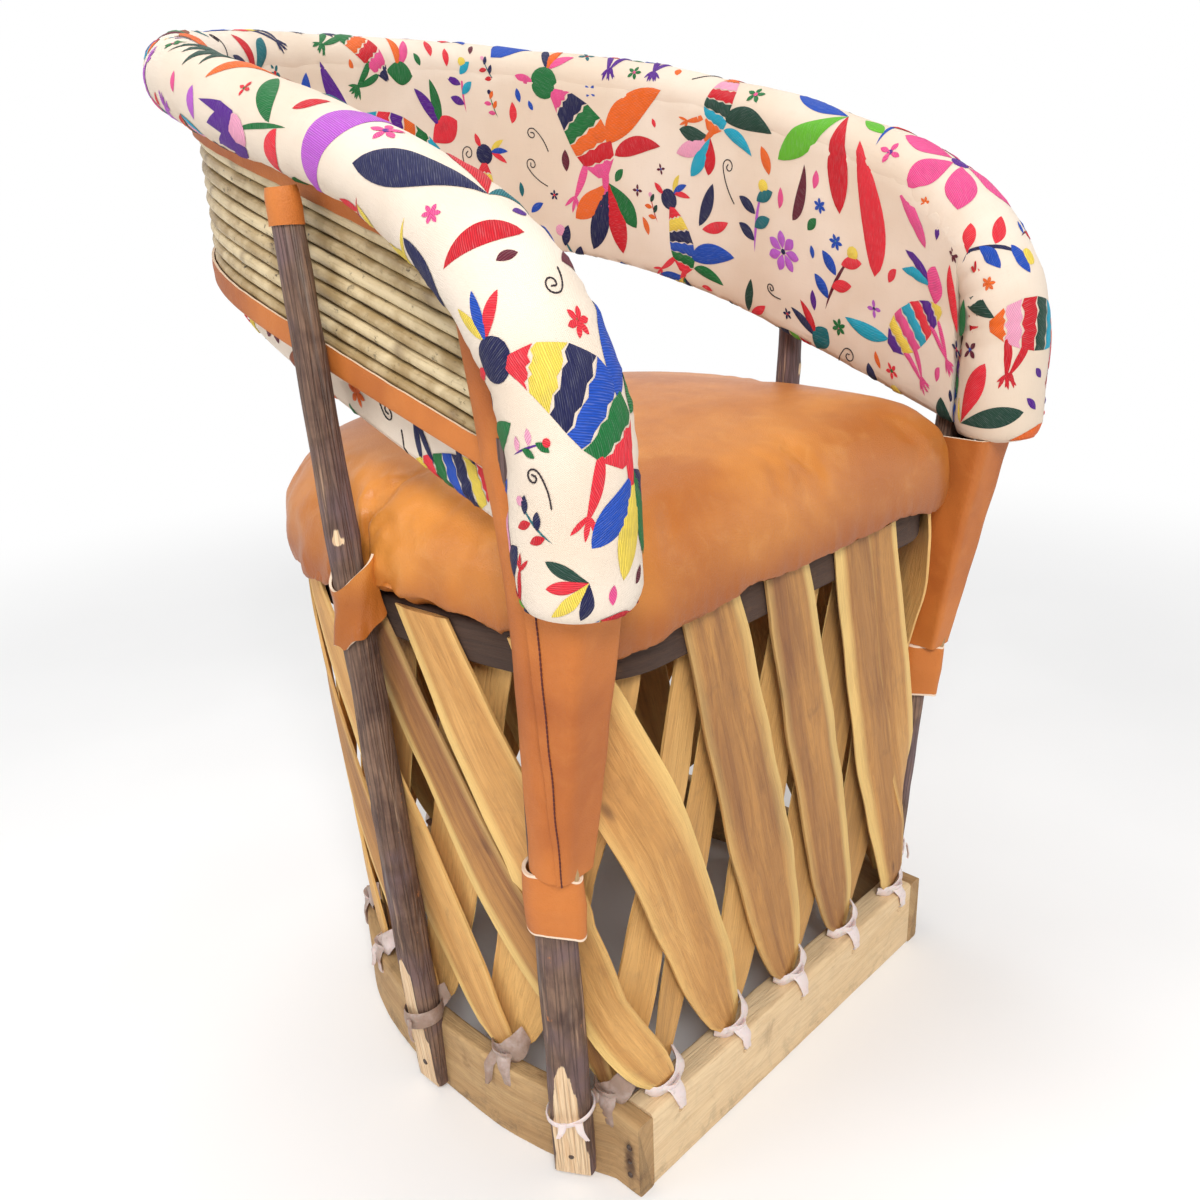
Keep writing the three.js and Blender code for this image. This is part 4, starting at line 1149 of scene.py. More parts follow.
def tulipSprig(chance, tones):
    bend = chance.uniform(-0.25, 0.25)
    return [(leaf(40, 2.6, bend, 1, 10), tones[2]),
            (moved(tulip(30, 32), bend * 40, 36, -bend * 60), tones[0]),
            (moved(disc(7.5), bend * 40, 39), tones[1]), (moved(leaf(30, 11, 0.2), 1, 12, -48), tones[2]),
            (moved(leaf(26, 10, -0.2), -1, 6, 50), tones[3])]


def leafPair(chance, tones):
    return [(leaf(52, 15, chance.uniform(-0.3, 0.3)), tones[0]),
            (moved(leaf(38, 12, -0.2), 5, 0, -52), tones[1])]


def longLeaf(chance, tones):
    return [(leaf(chance.uniform(60, 84), 17, chance.choice((-0.34, 0.34)), 0.8), tones[0])]


def feathers(chance, tones):
    count = chance.choice((3, 4, 5))
    spread = 108
    return [(moved(leaf(chance.uniform(34, 48), 12.5, 0.06, 1.35), 0, 0, spread * (i / (count - 1) - 0.5)),
             tones[i % len(tones)]) for i in range(count)]


def bird(chance, tones):
    parts = []
    body = bands(62, 34, -0.5, 6)
    parts += [(outline, tones[(i * 3 + 1) % len(tones)]) for i, outline in enumerate(body)]
    tail = [moved(leaf(length, 15, 0.1, 1.3), 3, -3, 180 + turn)
            for length, turn in ((40, -52), (50, -24), (48, 6), (36, 34))]
    parts += [(outline, tones[(i + 2) % len(tones)]) for i, outline in enumerate(tail)]
    parts += [(moved(disc(10.5, 18), -34, 66), tones[0]), (moved(leaf(15, 6.5, 0.1), -42, 68, 74), tones[1]),
              (moved(disc(2.2, 8), -36, 68), tones[3])]
    parts += [(moved(leaf(22, 6, 0.2), -30, 74, turn), tones[(i + 1) % len(tones)])
              for i, turn in enumerate((-58, -26, 6))]
    parts += [(moved(leaf(56, 21, 0.42, 0.9), 8, 22, -38), tones[2]),
              (moved(leaf(38, 12, 0.4, 0.9), 13, 14, -64), tones[4])]
    for x, turn in ((-12, 152), (4, 172)):
        parts += [(moved(outline, x, 12, turn), tones[1]) for outline in paw(30, 0.12)]
    return parts


def beast(chance, tones):
    parts = [(moved(outline, -44, 0, -84), tones[(i * 2 + 1) % len(tones)])
             for i, outline in enumerate(bands(84, 32, 0.14, 7))]
    parts += [(moved(leaf(30, 20, 0.1, 1.2), 34, 2, -42), tones[0]), (moved(disc(2.2, 8), 44, 14), tones[3])]
    parts += [(moved(leaf(34, 9, -0.2), 40, 14, turn), tones[(i + 1) % len(tones)])
              for i, turn in enumerate((6, 34))]
    parts += [(moved(leaf(44, 13, 0.4), -40, 6, 62), tones[2])]
    for x, turn in ((-30, 196), (-14, 168), (16, 200), (30, 172)):
        parts += [(moved(outline, x, -6, turn), tones[0]) for outline in paw(30, 0.16)]
    return parts


def sprig(chance, tones):
    parts = [(leaf(44, 2.4, 0.2, 1, 10), tones[0])]
    for i in range(4):
        side = 1 if i % 2 else -1
        twig = moved(leaf(17, 8, 0.1 * side), 0.2 * 44 * (i / 5) ** 2, 8 + i * 9, -52 * side)
        parts.append((twig, tones[1 + i % 2]))
    return parts + [(moved(disc(4.4, 10), 9, 46), tones[3])]


def bud(chance, tones):
    count = chance.choice((4, 5, 6))
    petals = [(moved(leaf(8.5, 4, 0, 1.2, 6), 0, 0, 360 * i / count), tones[0]) for i in range(count)]
    return petals + [(disc(2, 7), tones[1])]


def seed(chance, tones):
    return [(leaf(chance.uniform(12, 20), 7, chance.uniform(-0.3, 0.3), 1, 8), tones[0])]


# Embroidery is drawn into the cloth's own coordinates. A grid of taken cells keeps motifs apart.
class Needlework:
    def __init__(self):
        self.verts, self.faces, self.spots, self.tints, self.taken = [], [], [], [], set()

    def cells(self, outline):
        return {(int(p.x // stitching["cell"]), int(p.y // stitching["cell"])) for p in outline}

    def filled(self, outline):
        low = Vector((min(p.x for p in outline), min(p.y for p in outline)))
        high = Vector((max(p.x for p in outline), max(p.y for p in outline)))
        inside = []
        row = 0
        y = low.y + stitching["grid"] / 2
        while y < high.y:
            x = low.x + (0.25 + 0.5 * (row % 2)) * stitching["grid"]
            while x < high.x:
                if self.within(outline, x, y):
                    inside.append(Vector((x, y)))
                x += stitching["grid"]
            y += stitching["grid"] * 0.87
            row += 1
        return inside

    def within(self, outline, x, y):
        odd = False
        for a, b in zip(outline, outline[1:] + outline[:1]):
            if (a.y > y) != (b.y > y) and x < a.x + (y - a.y) / (b.y - a.y) * (b.x - a.x):
                odd = not odd
            if (a.x - x) ** 2 + (a.y - y) ** 2 < (stitching["grid"] * 0.45) ** 2:
                return False
        return odd

    def evened(self, outline):
        row = []
        for a, b in zip(outline, outline[1:] + outline[:1]):
            steps = max(1, math.ceil((b - a).length / stitching["edge"]))
            row += [a.lerp(b, k / steps) for k in range(steps)]
        return row

    def patch(self, outline, tint, grain, order):
        rim = self.evened(outline)
        count = len(rim)
        made = geometry.delaunay_2d_cdt(rim + self.filled(rim), [], [list(range(count))], 1, 1e-6)
        flat, triangles, origins = made[0], made[2], made[3]
        low, high = stitching["height"] * 0.3, stitching["height"] * (1 + 0.35 * order)
        start = len(self.verts)
        cosine, sine = math.cos(grain), math.sin(grain)
        for p, origin in zip(flat, origins):
            onRim = bool(origin) and origin[0] < count
            least, most = cloth.limits(p.x)
            u = clamp(-p.y, least + 0.001, most - 0.0005)
            self.verts.append(cloth.lifted(u, p.x, low * (1 + order) if onRim else high))
            self.tints.append(tint)
            self.spots.append((p.x * cosine + p.y * sine, p.y * cosine - p.x * sine))
        for triangle in triangles:
            limits = [cloth.limits(flat[k].x) for k in triangle]
            if any(least < -flat[k].y < most for k, (least, most) in zip(triangle, limits)):
                a, b, c = (flat[k] for k in triangle)
                upright = triangle[::-1] if (b - a).cross(c - a) < 0 else triangle
                self.faces.append([start + k for k in upright])

    # sews the motif if there is room for it
    def sew(self, motif, chance, tones, v, u, turn, size):
        drawn = []
        cells = set()
        for outline, tone in motif(chance, tones):
            shape = moved([p * (size / 1000) for p in outline], 0, 0, turn)
            spots = [Vector((v + p.x, -u + p.y)) for p in shape]
            cells |= self.cells(self.evened(spots) + self.filled(spots))
            drawn.append((spots, tone))
        least, most = cloth.limits(v)
        points = [p for spots, _ in drawn for p in spots]
        middle = sum(points, Vector((0, 0))) / len(points)
        if cells & self.taken or not least < -middle.y < most:
            return
        beside = ((0, 0), (1, 0), (-1, 0), (0, 1), (0, -1))
        self.taken |= {(x + dx, y + dy) for x, y in cells for dx, dy in beside}
        for order, (spots, tone) in enumerate(drawn):
            self.patch(spots, threads[tone], chance.uniform(0, math.pi), 0.35 * (order % 3))


palettes = [
    ("navy", "coral", "blue", "yellow", "green"), ("red", "orange", "forest", "blush", "aqua"),
    ("purple", "blush", "green", "coral", "blue"), ("maroon", "blue", "coral", "yellow", "teal"),
    ("green", "pink", "orange", "navy", "red"), ("teal", "red", "navy", "blush", "lime"),
    ("pink", "purple", "aqua", "yellow", "coral"), ("orange", "brown", "green", "maroon", "blue"),
    ("blue", "lime", "red", "blush", "navy"), ("lilac", "navy", "teal", "yellow", "pink"),
    ("coral", "green", "purple", "aqua", "orange"), ("forest", "coral", "yellow", "navy", "blush"),
]


curls = []


# A stem that rolls up at its end, as points in millimetres
def curlLine(chance):
    size = chance.uniform(10, 17)
    sign = chance.choice((-1, 1))
    stem = size * chance.uniform(0.9, 1.9)
    row = [Vector((sign * size * 0.5 * (1 - k / 7) ** 2, -stem * (1 - k / 7))) for k in range(7)]
    for k in range(30):
        angle = k / 29 * 7.2
        reach = size * 0.4 * (1 - 0.78 * k / 29)
        row.append(Vector((sign * (size * 0.4 - reach * math.cos(angle)), reach * math.sin(angle) * 1.1)))
    return row


def sewCurls(work, chance, length):
    for _ in range(900):
        v = chance.uniform(0.01, length - 0.01)
        least, most = cloth.limits(v)
        u = chance.uniform(least + 0.012, most - 0.012)
        line = [Vector((v + p.x, -u + p.y)) for p in
                moved([q / 1000 for q in curlLine(chance)], 0, 0, chance.uniform(-60, 60))]
        if work.cells(line) & work.taken or any(not least < -p.y < most for p in line):
            continue
        around = [(dx, dy) for dx in (-1, 0, 1) for dy in (-1, 0, 1)]
        work.taken |= {(x + dx, y + dy) for x, y in work.cells(line) for dx, dy in around}
        curls.append([cloth.lifted(-p.y, p.x, 0.0003) for p in line])
        if len(curls) >= stitching["curls"]:
            return


def embroider():
    work = Needlework()
    chance = random.Random(stitching["seed"])
    length = rollReach[-1]
    large = [(bird, 1.0), (beast, 0.95), (bird, 0.9), (beast, 0.85), (bird, 0.85)]
    middling = [(tulipSprig, 1.25), (feathers, 1.5), (flower, 1.35), (longLeaf, 1.3), (leafPair, 1.3),
                (feathers, 1.2), (sprig, 1.15)]
    little = [(bud, 1.1), (seed, 1.2), (seed, 0.9), (bud, 0.8)]
    chosen = ((bird, 0.078, 0.006, -72, 1.12, 0), (feathers, 0.205, -0.004, -120, 1.9, 5),
              (longLeaf, 0.292, 0.012, -40, 1.35, 9), (tulipSprig, 0.345, -0.03, -80, 1.3, 2),
              (beast, length - 0.085, 0.004, 84, 1.05, 1), (flower, length - 0.21, 0.0, 10, 1.7, 6),
              (feathers, length - 0.31, 0.008, 140, 1.7, 8), (bird, length * 0.66, 0.12, 12, 1.35, 4),
              (beast, length * 0.52, 0.1, -8, 1.2, 10), (bird, length * 0.37, 0.11, -14, 1.3, 7))
    for motif, v, u, slant, size, number in chosen:
        work.sew(motif, chance, palettes[number], v, u, slant, size)
    drop = 0.19
    armLength = 0.44
    everywhere = (0.01, length - 0.01)
    arms = (0.0, drop), (length - drop, length)
    wholeArms = (0.0, armLength), (length - armLength, length)
    rounds = [(large, 300, (0.95, 1.25), everywhere), (middling, 1300, (1.05, 1.5), everywhere)]
    rounds += [(middling, 900, (1.0, 1.5), arm) for arm in wholeArms]
    rounds += [(middling, 500, (0.75, 1.3), arm) for arm in arms]
    rounds += [(middling, 1900, (0.7, 0.98), everywhere)]
    rounds += [(middling, 600, (0.42, 0.7), arm) for arm in arms]
    rounds += [(middling, 2400, (0.42, 0.66), everywhere), (little, 2600, (0.7, 1.3), everywhere)]
    rounds += [(little, 500, (0.6, 1.2), arm) for arm in arms]
    for number, (group, tries, sizes, zone) in enumerate(rounds):
        if number == 6:
            sewCurls(work, chance, length)
        for n in range(tries):
            motif, size = group[n % len(group)]
            v = chance.uniform(*zone)
            least, most = cloth.limits(v)
            u = chance.uniform(least, most)
            slant = chance.gauss(0, 25) if most > 0.12 else chance.uniform(0, 360)
            tones = palettes[chance.randrange(len(palettes))]
            work.sew(motif, chance, tones, v, u, slant, size * chance.uniform(*sizes))
    piece = meshObject("embroidery", work.verts, work.faces)
    layer = piece.data.uv_layers.new(name="UVMap")
    for loop in piece.data.loops:
        layer.data[loop.index].uv = work.spots[loop.vertex_index]
    tint = piece.data.attributes.new("dye", "FLOAT_COLOR", "POINT")
    tint.data.foreach_set("color", [part for colour in work.tints for part in colour])
    print("embroidery", len(work.faces))
    piece.data.shade_smooth()
    return finished(piece, thread, "embroidered_cloth")


embroider()


# Posts and rail

frontPost = {"standOff": 0.0047, "at": 0.053, "headOut": 0.0057, "headAt": 0.022, "headHeight": 0.605,
             "footRadius": 0.0162, "headRadius": 0.0095, "sawnAt": 0.008, "shavedFrom": 0.135,
             "shavedDepth": 0.009, "woodTop": 0.575}
sidePost = {"standOff": 0.0038, "at": 0.203, "headOut": 0.0154, "headAt": 0.199, "headHeight": 0.716,
            "footRadius": 0.0138, "headRadius": 0.0095, "sawnAt": 0.006, "shavedFrom": 0.15,
            "shavedDepth": 0.008, "woodTop": 0.7}
backPost = {"standOff": 0.008, "headOut": 0.011, "bendHeight": 0.63, "headHeight": 0.778,
            "footRadius": 0.014, "headRadius": 0.0095, "sawnAt": 0.006, "shavedFrom": 0.15,
            "shavedDepth": 0.008, "woodTop": 0.765}
pole = {"sides": 30, "levels": 110, "taperPower": 1.6}


def postAxis(post):
    foot = hoopPlan.offset(hoopPlan.distanceAt(post["at"]), post["standOff"], 0)
    head = rollPlan.offset(rollPlan.distanceAt(post["headAt"]), post["headOut"], post["headHeight"])
    return lambda z: foot.lerp(head, z / post["headHeight"])


def bentAxis(post):
    foot = Vector((0, hoop["backAt"] + post["standOff"], 0))
    far = roll["backAt"] + post["headOut"]

    def place(z):
        return Vector((0, lerp(foot.y, far, clamp((z / post["bendHeight"]) ** 0.92)), z))

    return place


def poleRadius(post, z):
    return lerp(post["footRadius"], post["headRadius"], (z / post["headHeight"]) ** pole["taperPower"])


def polePiece(name, post, axis, facing, seed):
    chance = random.Random(seed)
    knots = [(chance.uniform(0, 2 * math.pi), chance.uniform(0.16, 0.6), chance.uniform(0.004, 0.008))
             for _ in range(6)]
    rings = []
    bare = []
    for i in range(pole["levels"] + 1):
        z = lerp(post["sawnAt"], post["woodTop"], i / pole["levels"])
        radius = poleRadius(post, z) * 0.975
        shaved = max(1 - z / post["shavedFrom"], 0) * post["shavedDepth"]
        ring = []
        for k, way in enumerate(circle(pole["sides"], 1)):
            angle = 2 * math.pi * k / pole["sides"]
            rough = ripple(way.x * 0.03 + seed, way.y * 0.03, z * 0.12, 0.008, 2) * 0.0007
            broad = ripple(way.x * 0.03 + seed, way.y * 0.03, z, 0.045) * 0.0011
            bump = 0
            scar = 0
            for n, (turn, level, size) in enumerate(knots):
                far = min(abs(angle - turn), 2 * math.pi - abs(angle - turn)) * radius
                bump += 0.0018 * math.exp(-(far ** 2 + (z - level) ** 2) / size ** 2)
                if n < 2:
                    scar = max(scar, math.exp(-(far ** 2 + ((z - level) * 0.6) ** 2) / (size * 0.7) ** 2))
            reach = way * (radius + rough + broad * 0.6 + bump * 0.6)
            beyond = max(reach.dot(facing) - (radius - shaved), 0)
            cut = smooth(0, 0.0012, beyond) if shaved > 0 else 0
            bare.append(max(cut, 0.9 * scar if scar > 0.5 else 0))
            ring.append(axis(z) + reach - facing * beyond)
        rings.append(ring)
    piece = skin(name, rings)
    pointValues(piece, "bare", bare)
    return finished(toned(smoothed(piece, 50), chance.random()), bark, "bark_pole", name)


frontAxis = postAxis(frontPost)
sideAxis = postAxis(sidePost)
backAxis = bentAxis(backPost)


def mirrorAxis(axis):
    return lambda z: mirrored(axis(z))


west = Vector((-1, 0, 0))
east = Vector((1, 0, 0))
shavedWay = Vector((-0.86, -0.51, 0)).normalized()
sides = (("left", lambda axis: axis, west, shavedWay), ("right", mirrorAxis, east, mirrored(shavedWay)))
for n, (sideName, turn, facing, shaved) in enumerate(sides):
    polePiece("front_post_" + sideName, frontPost, turn(frontAxis), shaved, 3 + n)
    polePiece("side_post_" + sideName, sidePost, turn(sideAxis), facing, 5 + n)
polePiece("back_post", backPost, backAxis, Vector((0, 1, 0)), 7)

rail = {"radius": 0.0095, "exitRadius": 0.0072, "tipRadius": 0.0038, "tipAbove": 0.012, "sides": 12}
band = {"bottom": 0.243, "height": 0.0485, "wall": 0.0024, "swell": 0.0012}


def railPiece():
    tipHeight = band["bottom"] + rail["tipAbove"]
    there = frontAxis(tipHeight)
    tip = Vector((there.x, there.y - frontPost["footRadius"] - 0.0003 - rail["tipRadius"], tipHeight))
    half = []
    for i in range(24):
        inward = Vector((-0.0025, 0.003, 0)) * math.sin(math.pi * i / 24)
        radius = lerp(rail["tipRadius"], rail["exitRadius"], i / 24) * 0.9
        half.append((tip.lerp(rollRow[0][0], i / 24) + inward, west, radius))
    for point, out, _, fromEnd, _, _ in rollRow[:len(rollRow) // 2 + 1:2]:
        half.append((point, out, lerp(rail["exitRadius"], rail["radius"], clamp(fromEnd / 0.2))))
    path = half + [(mirrored(p), mirrored(o), r) for p, o, r in reversed(half[:-1])]
    rings = []
    for i, (point, out, radius) in enumerate(path):
        along = (path[min(i + 1, len(path) - 1)][0] - path[max(i - 1, 0)][0]).normalized()
        side = (out - along * out.dot(along)).normalized()
        over = side.cross(along)
        ring = []
        for k, way in enumerate(circle(rail["sides"], radius)):
            rough = 1 + 0.04 * ripple(point.x, point.y + 2 * math.pi * k / rail["sides"], point.z, 0.03)
            ring.append(point + (side * way.x + over * way.y) * rough)
        rings.append(ring)
    piece = toned(skin("top_rail", rings), 0.4)
    return finished(smoothed(piece), hoopPaint, "peeled_rod", "top_rail")


railPiece()
print("posts done")


headWrap = {"low": 0.682, "high": 0.7035, "proud": 0.0012, "thickness": 0.0016, "reach": 128}


def headWrapPiece(name, axis, facing):
    rows = []
    for i in range(9):
        row = []
        for k in range(37):
            across = k / 18 - 1
            angle = math.radians(headWrap["reach"] * across)
            wave = ripple(across * 0.02, facing.x, i * 0.001, 0.02) * 0.0016
            z = lerp(headWrap["low"], headWrap["high"], i / 8) + wave
            swell = ripple(angle * 0.02, z, facing.x, 0.015) * 0.0007
            inward = 0.0012 * (i / 8) ** 4
            reach = poleRadius(sidePost, z) + headWrap["proud"] + swell - inward
            row.append(axis(z) + swung(facing, angle) * reach)
        rows.append(row)
    return strapPiece(name, rows, headWrap["thickness"], axis(0.69), nodes=[])


for sideName, turn, facing, _ in sides:
    headWrapPiece("head_wrap_" + sideName, turn(sideAxis), facing)


# Leather on the front posts

sheath = {"footHeight": 0.292, "thickness": 0.0021}
sheathTop = [(0.0205, 0.019), (0.0135, 0.054), (-0.032, 0.05), (-0.03, 0.003), (-0.0155, -0.003)]
sheathFoot = [(0.0153, 0.022), (0.010, 0.0265), (-0.0167, 0.0245), (-0.0150, 0.008), (-0.0150, 0.0)]
strip = {"width": 0.027, "thickness": 0.0024, "curl": 0.0045, "forward": 0.008, "bendHeight": 0.488,
         "topAt": 0.052, "topOut": 0.008, "topHeight": 0.668}


# A line through corners, each rounded off, with points evenly spaced along it
def roundedLine(corners, rounding, count, closed=False):
    dense = []
    total = len(corners)
    for i, corner in enumerate(corners):
        if not closed and i in (0, total - 1):
            dense.append(corner)
            continue
        before = corners[i - 1]
        after = corners[(i + 1) % total]
        size = min(rounding, (before - corner).length * 0.45, (after - corner).length * 0.45)
        a = corner + (before - corner).normalized() * size
        b = corner + (after - corner).normalized() * size
        for k in range(7):
            share = k / 6
            dense.append(a * (1 - share) ** 2 + corner * (2 * share * (1 - share)) + b * share ** 2)
    if closed:
        dense.append(dense[0])
    reach = runningLengths(dense)
    row = []
    steps = count if closed else count - 1
    for i in range(count):
        target = reach[-1] * i / steps
        k = clamp(bisect.bisect_left(reach, target), 1, len(dense) - 1)
        row.append(dense[k - 1].lerp(dense[k], (target - reach[k - 1]) / max(reach[k] - reach[k - 1], 1e-9)))
    return row


seams = []


def sheathPiece(name, flip):
    top = roll["lowerEnd"] - 0.0005
    rows = []
    for i in range(41):
        share = i / 40
        z = lerp(sheath["footHeight"], top, share)
        axis = frontAxis(z)
        corners = []
        for (footOut, footOn), (topOut, topOn) in zip(sheathFoot, sheathTop):
            out = lerp(footOut, topOut, share)
            onward = lerp(footOn, topOn, share)
            corners.append(Vector((axis.x - out, axis.y - onward, z)))
        row = roundedLine(corners, lerp(0.004, 0.0075, share), 34)
        edge = 0.0012 * math.sin(i * 0.9) if i in (0, 40) else 0
        rows.append([p + Vector((ripple(p.x, p.y, p.z, 0.03) * 0.0011, ripple(p.y, p.z, p.x, 0.04) * 0.0011,
                                 edge)) for p in row])
    away = frontAxis(0.4) - Vector((0, 0.02, 0))
    spots = [row[2] for row in rows]
    seam = [p + Vector((p.x - away.x, p.y - away.y, 0)).normalized() * 0.0003 for p in spots]
    seams.append([mirrored(p) for p in seam] if flip else seam)
    return strapPiece(name, rows, sheath["thickness"], away, flip)


def strapOutline(circles, z, count):
    row = []
    for way in circle(count, 1):
        centre, radius = max(circles, key=lambda c: (c[0] + way * c[1]).dot(way))
        spot = centre + way * radius
        row.append(Vector((spot.x, spot.y, z)))
    return row


def bandPiece(name, flip):
    rows = []
    count = 28
    for i in range(count + 1):
        share = i / count
        z = band["bottom"] + band["height"] * share
        axis = frontAxis(z)
        level = Vector((axis.x, axis.y, 0))
        swell = band["wall"] + band["swell"] * (1 - abs(2 * share - 1)) + 0.0004
        reach = frontPost["footRadius"] + rail["tipRadius"] + 0.0003
        circles = [(level, poleRadius(frontPost, z) + swell + 0.0012),
                   (level - Vector((0, reach, 0)), rail["tipRadius"] + swell)]
        row = []
        for k, p in enumerate(strapOutline(circles, z, 48)):
            ragged = ripple(p.x, p.y, 3, 0.012) * 0.0022 + 0.001 * math.sin(k * 0.3)
            ragged *= abs(2 * share - 1) ** 2
            outward = Vector((p.x - axis.x, p.y - axis.y, 0)).normalized()
            row.append(p + up * ragged + outward * ripple(p.x, p.y, z, 0.02) * 0.0008)
        rows.append(row)
    return strapPiece(name, rows, band["wall"], frontAxis(0.267), flip, 50, closed=True, rawRows=1)


def stripPiece(name, flip):
    low = band["bottom"] + band["height"] + 0.0006

    def onPost(z):
        axis = frontAxis(z)
        return Vector((axis.x - poleRadius(frontPost, z) - 0.0012, axis.y - strip["forward"], z))

    top = Vector((-roll["half"] - strip["topOut"], strip["topAt"], strip["topHeight"]))
    knees = [onPost(low), onPost(lerp(low, strip["bendHeight"], 0.5)), onPost(strip["bendHeight"]), top]
    line = roundedLine(knees, 0.09, 60)
    rows = []
    for i, point in enumerate(line):
        along = (line[min(i + 1, 59)] - line[max(i - 1, 0)]).normalized()
        across = west.cross(along).normalized()
        half = strip["width"] / 2 + ripple(point.z, 2, 1, 0.03) * 0.0012
        row = []
        for k in range(9):
            share = k / 4 - 1
            depth = strip["thickness"] - strip["curl"] * share ** 2 + ripple(point.z, share, 5, 0.03) * 0.0005
            row.append(point + across * share * half + west * depth)
        rows.append(row)
    return strapPiece(name, rows, strip["thickness"], Vector((0, 0.1, 0.45)), flip)


for sideName, flip in (("left", False), ("right", True)):
    sheathPiece("post_sheath_" + sideName, flip)
    bandPiece("post_band_" + sideName, flip)
    stripPiece("post_strip_" + sideName, flip)
print("leather done")


# Seat hoop, slats and cushion

seatHoop = {"thickness": 0.012, "height": 0.031, "top": 0.4395, "half": 0.226, "frontHalf": 0.214,
            "frontAt": 0.014, "corner": 0.06, "widestAt": 0.19, "backAt": 0.417, "squareness": 2.5,
            "edge": 0.003, "stations": 200}
seatPlan = Plan(closedPlan(seatHoop), True)


def seatHoopPiece():
    half = seatHoop["thickness"] / 2 * 0.96
    low = seatHoop["top"] - seatHoop["height"] + 0.0004
    outline = easedRectangle(-half, half, low, seatHoop["top"] - 0.0003, seatHoop["edge"], 3, 2)
    rings = []
    for i in range(seatHoop["stations"]):
        distance = seatPlan.length * i / seatHoop["stations"]
        rings.append([seatPlan.offset(distance, out * (1 - 0.06 * abs(ripple(distance, z, 3, 0.04))), z)
                      for out, z in outline])
    piece = toned(skin("seat_hoop", rings, loop=True), 0.5)
    # the seat hoop gets the bent wood darkened as painted shade
    return finished(smoothed(piece), shadedHoopPaint, "bent_wood", "seat_hoop")


seatHoopPiece()


def between(shares, values, at):
    for i in range(1, len(shares)):
        if at <= shares[i]:
            share = (at - shares[i - 1]) / (shares[i] - shares[i - 1])
            return lerp(values[i - 1], values[i], share)
    return values[-1]


def softWidth(at):
    near = [between(slat["heights"], slat["shares"], clamp(at + d)) for d in (-0.05, -0.025, 0, 0.025, 0.05)]
    return sum(near) / 5


slatFoot = board["height"] + 0.0003
slatHead = seatHoop["top"] - slat["topBelow"]
underHoop = (seatHoop["top"] - seatHoop["height"] - slatFoot) / (slatHead - slatFoot)


def onSheet(turnShare, heightShare):
    low, lowOut = slatPlan.at(turnShare * slatPlan.length)
    high, highOut = seatPlan.at(turnShare * seatPlan.length)
    return low.lerp(high, heightShare), lowOut.lerp(highOut, heightShare).normalized()


def slatPiece(name, distance, side, lean, width, lift, number):
    chance = random.Random(number * 2 + (1 if side > 0 else 0))
    partedTop = seatHoop["thickness"] / 2 + 0.0003 + slat["thickness"] / 2
    keenEdge = chance.choice((-1, 1))
    bevelWidth = chance.uniform(0.009, 0.016)
    ridge = chance.uniform(-0.4, 0.4)
    twist = chance.uniform(-0.035, 0.035)
    rings = []
    bare = []
    for i in range(slat["stations"] + 1):
        share = i / slat["stations"]
        turnShare = (distance + lean * share) / slatPlan.length
        tip = 1 - 0.6 * (1 - smooth(0, 0.045, share))
        half = width * softWidth(share) / 2 * tip
        z = lerp(slatFoot + 0.0004, slatHead, share)
        parted = lerp(slat["parting"], partedTop, clamp(share / underHoop))
        spot, out = onSheet(turnShare, share)
        along = Vector((out.y, -out.x, 0))
        edges = [onSheet(turnShare + way * half / slatPlan.length, share)[0] for way in (-1, 1)]
        hollow = max((spot - edge).dot(out) for edge in edges) if side < 0 else 0
        off = parted + lift * between(slat["heights"], slat["lifts"], share) + max(hollow, 0)
        leftEdge = half * (0.99 + 0.09 * ripple(share, number, 1, 0.14)) - 0.0006
        rightEdge = half * (0.99 + 0.09 * ripple(share, number, 4, 0.14)) - 0.0006
        ring = []
        count = slat["faceCount"]
        for face in (1, -1):
            for k in range(count):
                across = (2 * k / (count - 1) - 1) * face
                reach = across * (rightEdge if across > 0 else leftEdge)
                dent = 0.0007 * ripple(share * 0.3, across * 0.02, number, 0.03)
                fromEdge = (1 - abs(across)) * half
                keen = across * keenEdge > 0
                drop = clamp(1 - fromEdge / (bevelWidth if keen else 0.004))
                shown = face * side > 0
                bevel = (0.8 if keen else 0.5) * drop * (1 if shown else 0.4)
                depth = face * slat["thickness"] / 2 * (0.94 - bevel)
                if shown:
                    depth += side * (0.0005 * math.cos((across - ridge) * 3) - 0.0003)
                depth += twist * reach * math.sin(share * math.pi) * 0.5
                ring.append(Vector((spot.x, spot.y, z)) + along * reach + out * (side * off + depth + dent))
                bare.append(smooth(0.1, 0.6, drop) * (1 if keen else 0.5) if shown else 0.2)
        rings.append(ring)
    piece = skin(name, rings)
    pointValues(piece, "bare", bare)
    tone = slatTonesAndShade.get(name, chance.choice((0.12, 0.2, 0.3, 0.38, 0.5, 0.62)))
    return finished(toned(smoothed(piece, 40), tone + number * 0.001), slatPaint, "riven_slat", name)


distances = tieDistances()
outerLeans = [share * slat["lean"] for share in slat["outerLeans"]]
innerLeans = [-slat["lean"]] * len(distances)
# the browner slats of the photo, each by its piece's name
# the inner slats' darker tones are painted shade, as these slats stand in the shadow inside the barrel
slatTonesAndShade = {"outer_slat_01": 0.84, "outer_slat_02": 0.56, "outer_slat_03": 0.42, "outer_slat_04": 1.0,
             "outer_slat_05": 0.3, "outer_slat_06": 0.7, "outer_slat_17": 0.66, "outer_slat_18": 0.86,
             "outer_slat_19": 0.92, "inner_slat_01": 0.7, "inner_slat_03": 0.66, "inner_slat_19": 0.8}


def slatSpacing(i, leans):
    after = (i + 1) % len(distances)
    lap = 0 if after else slatPlan.length
    return distances[after] + lap - distances[i] + (leans[after] - leans[i]) * slat["widestShare"]


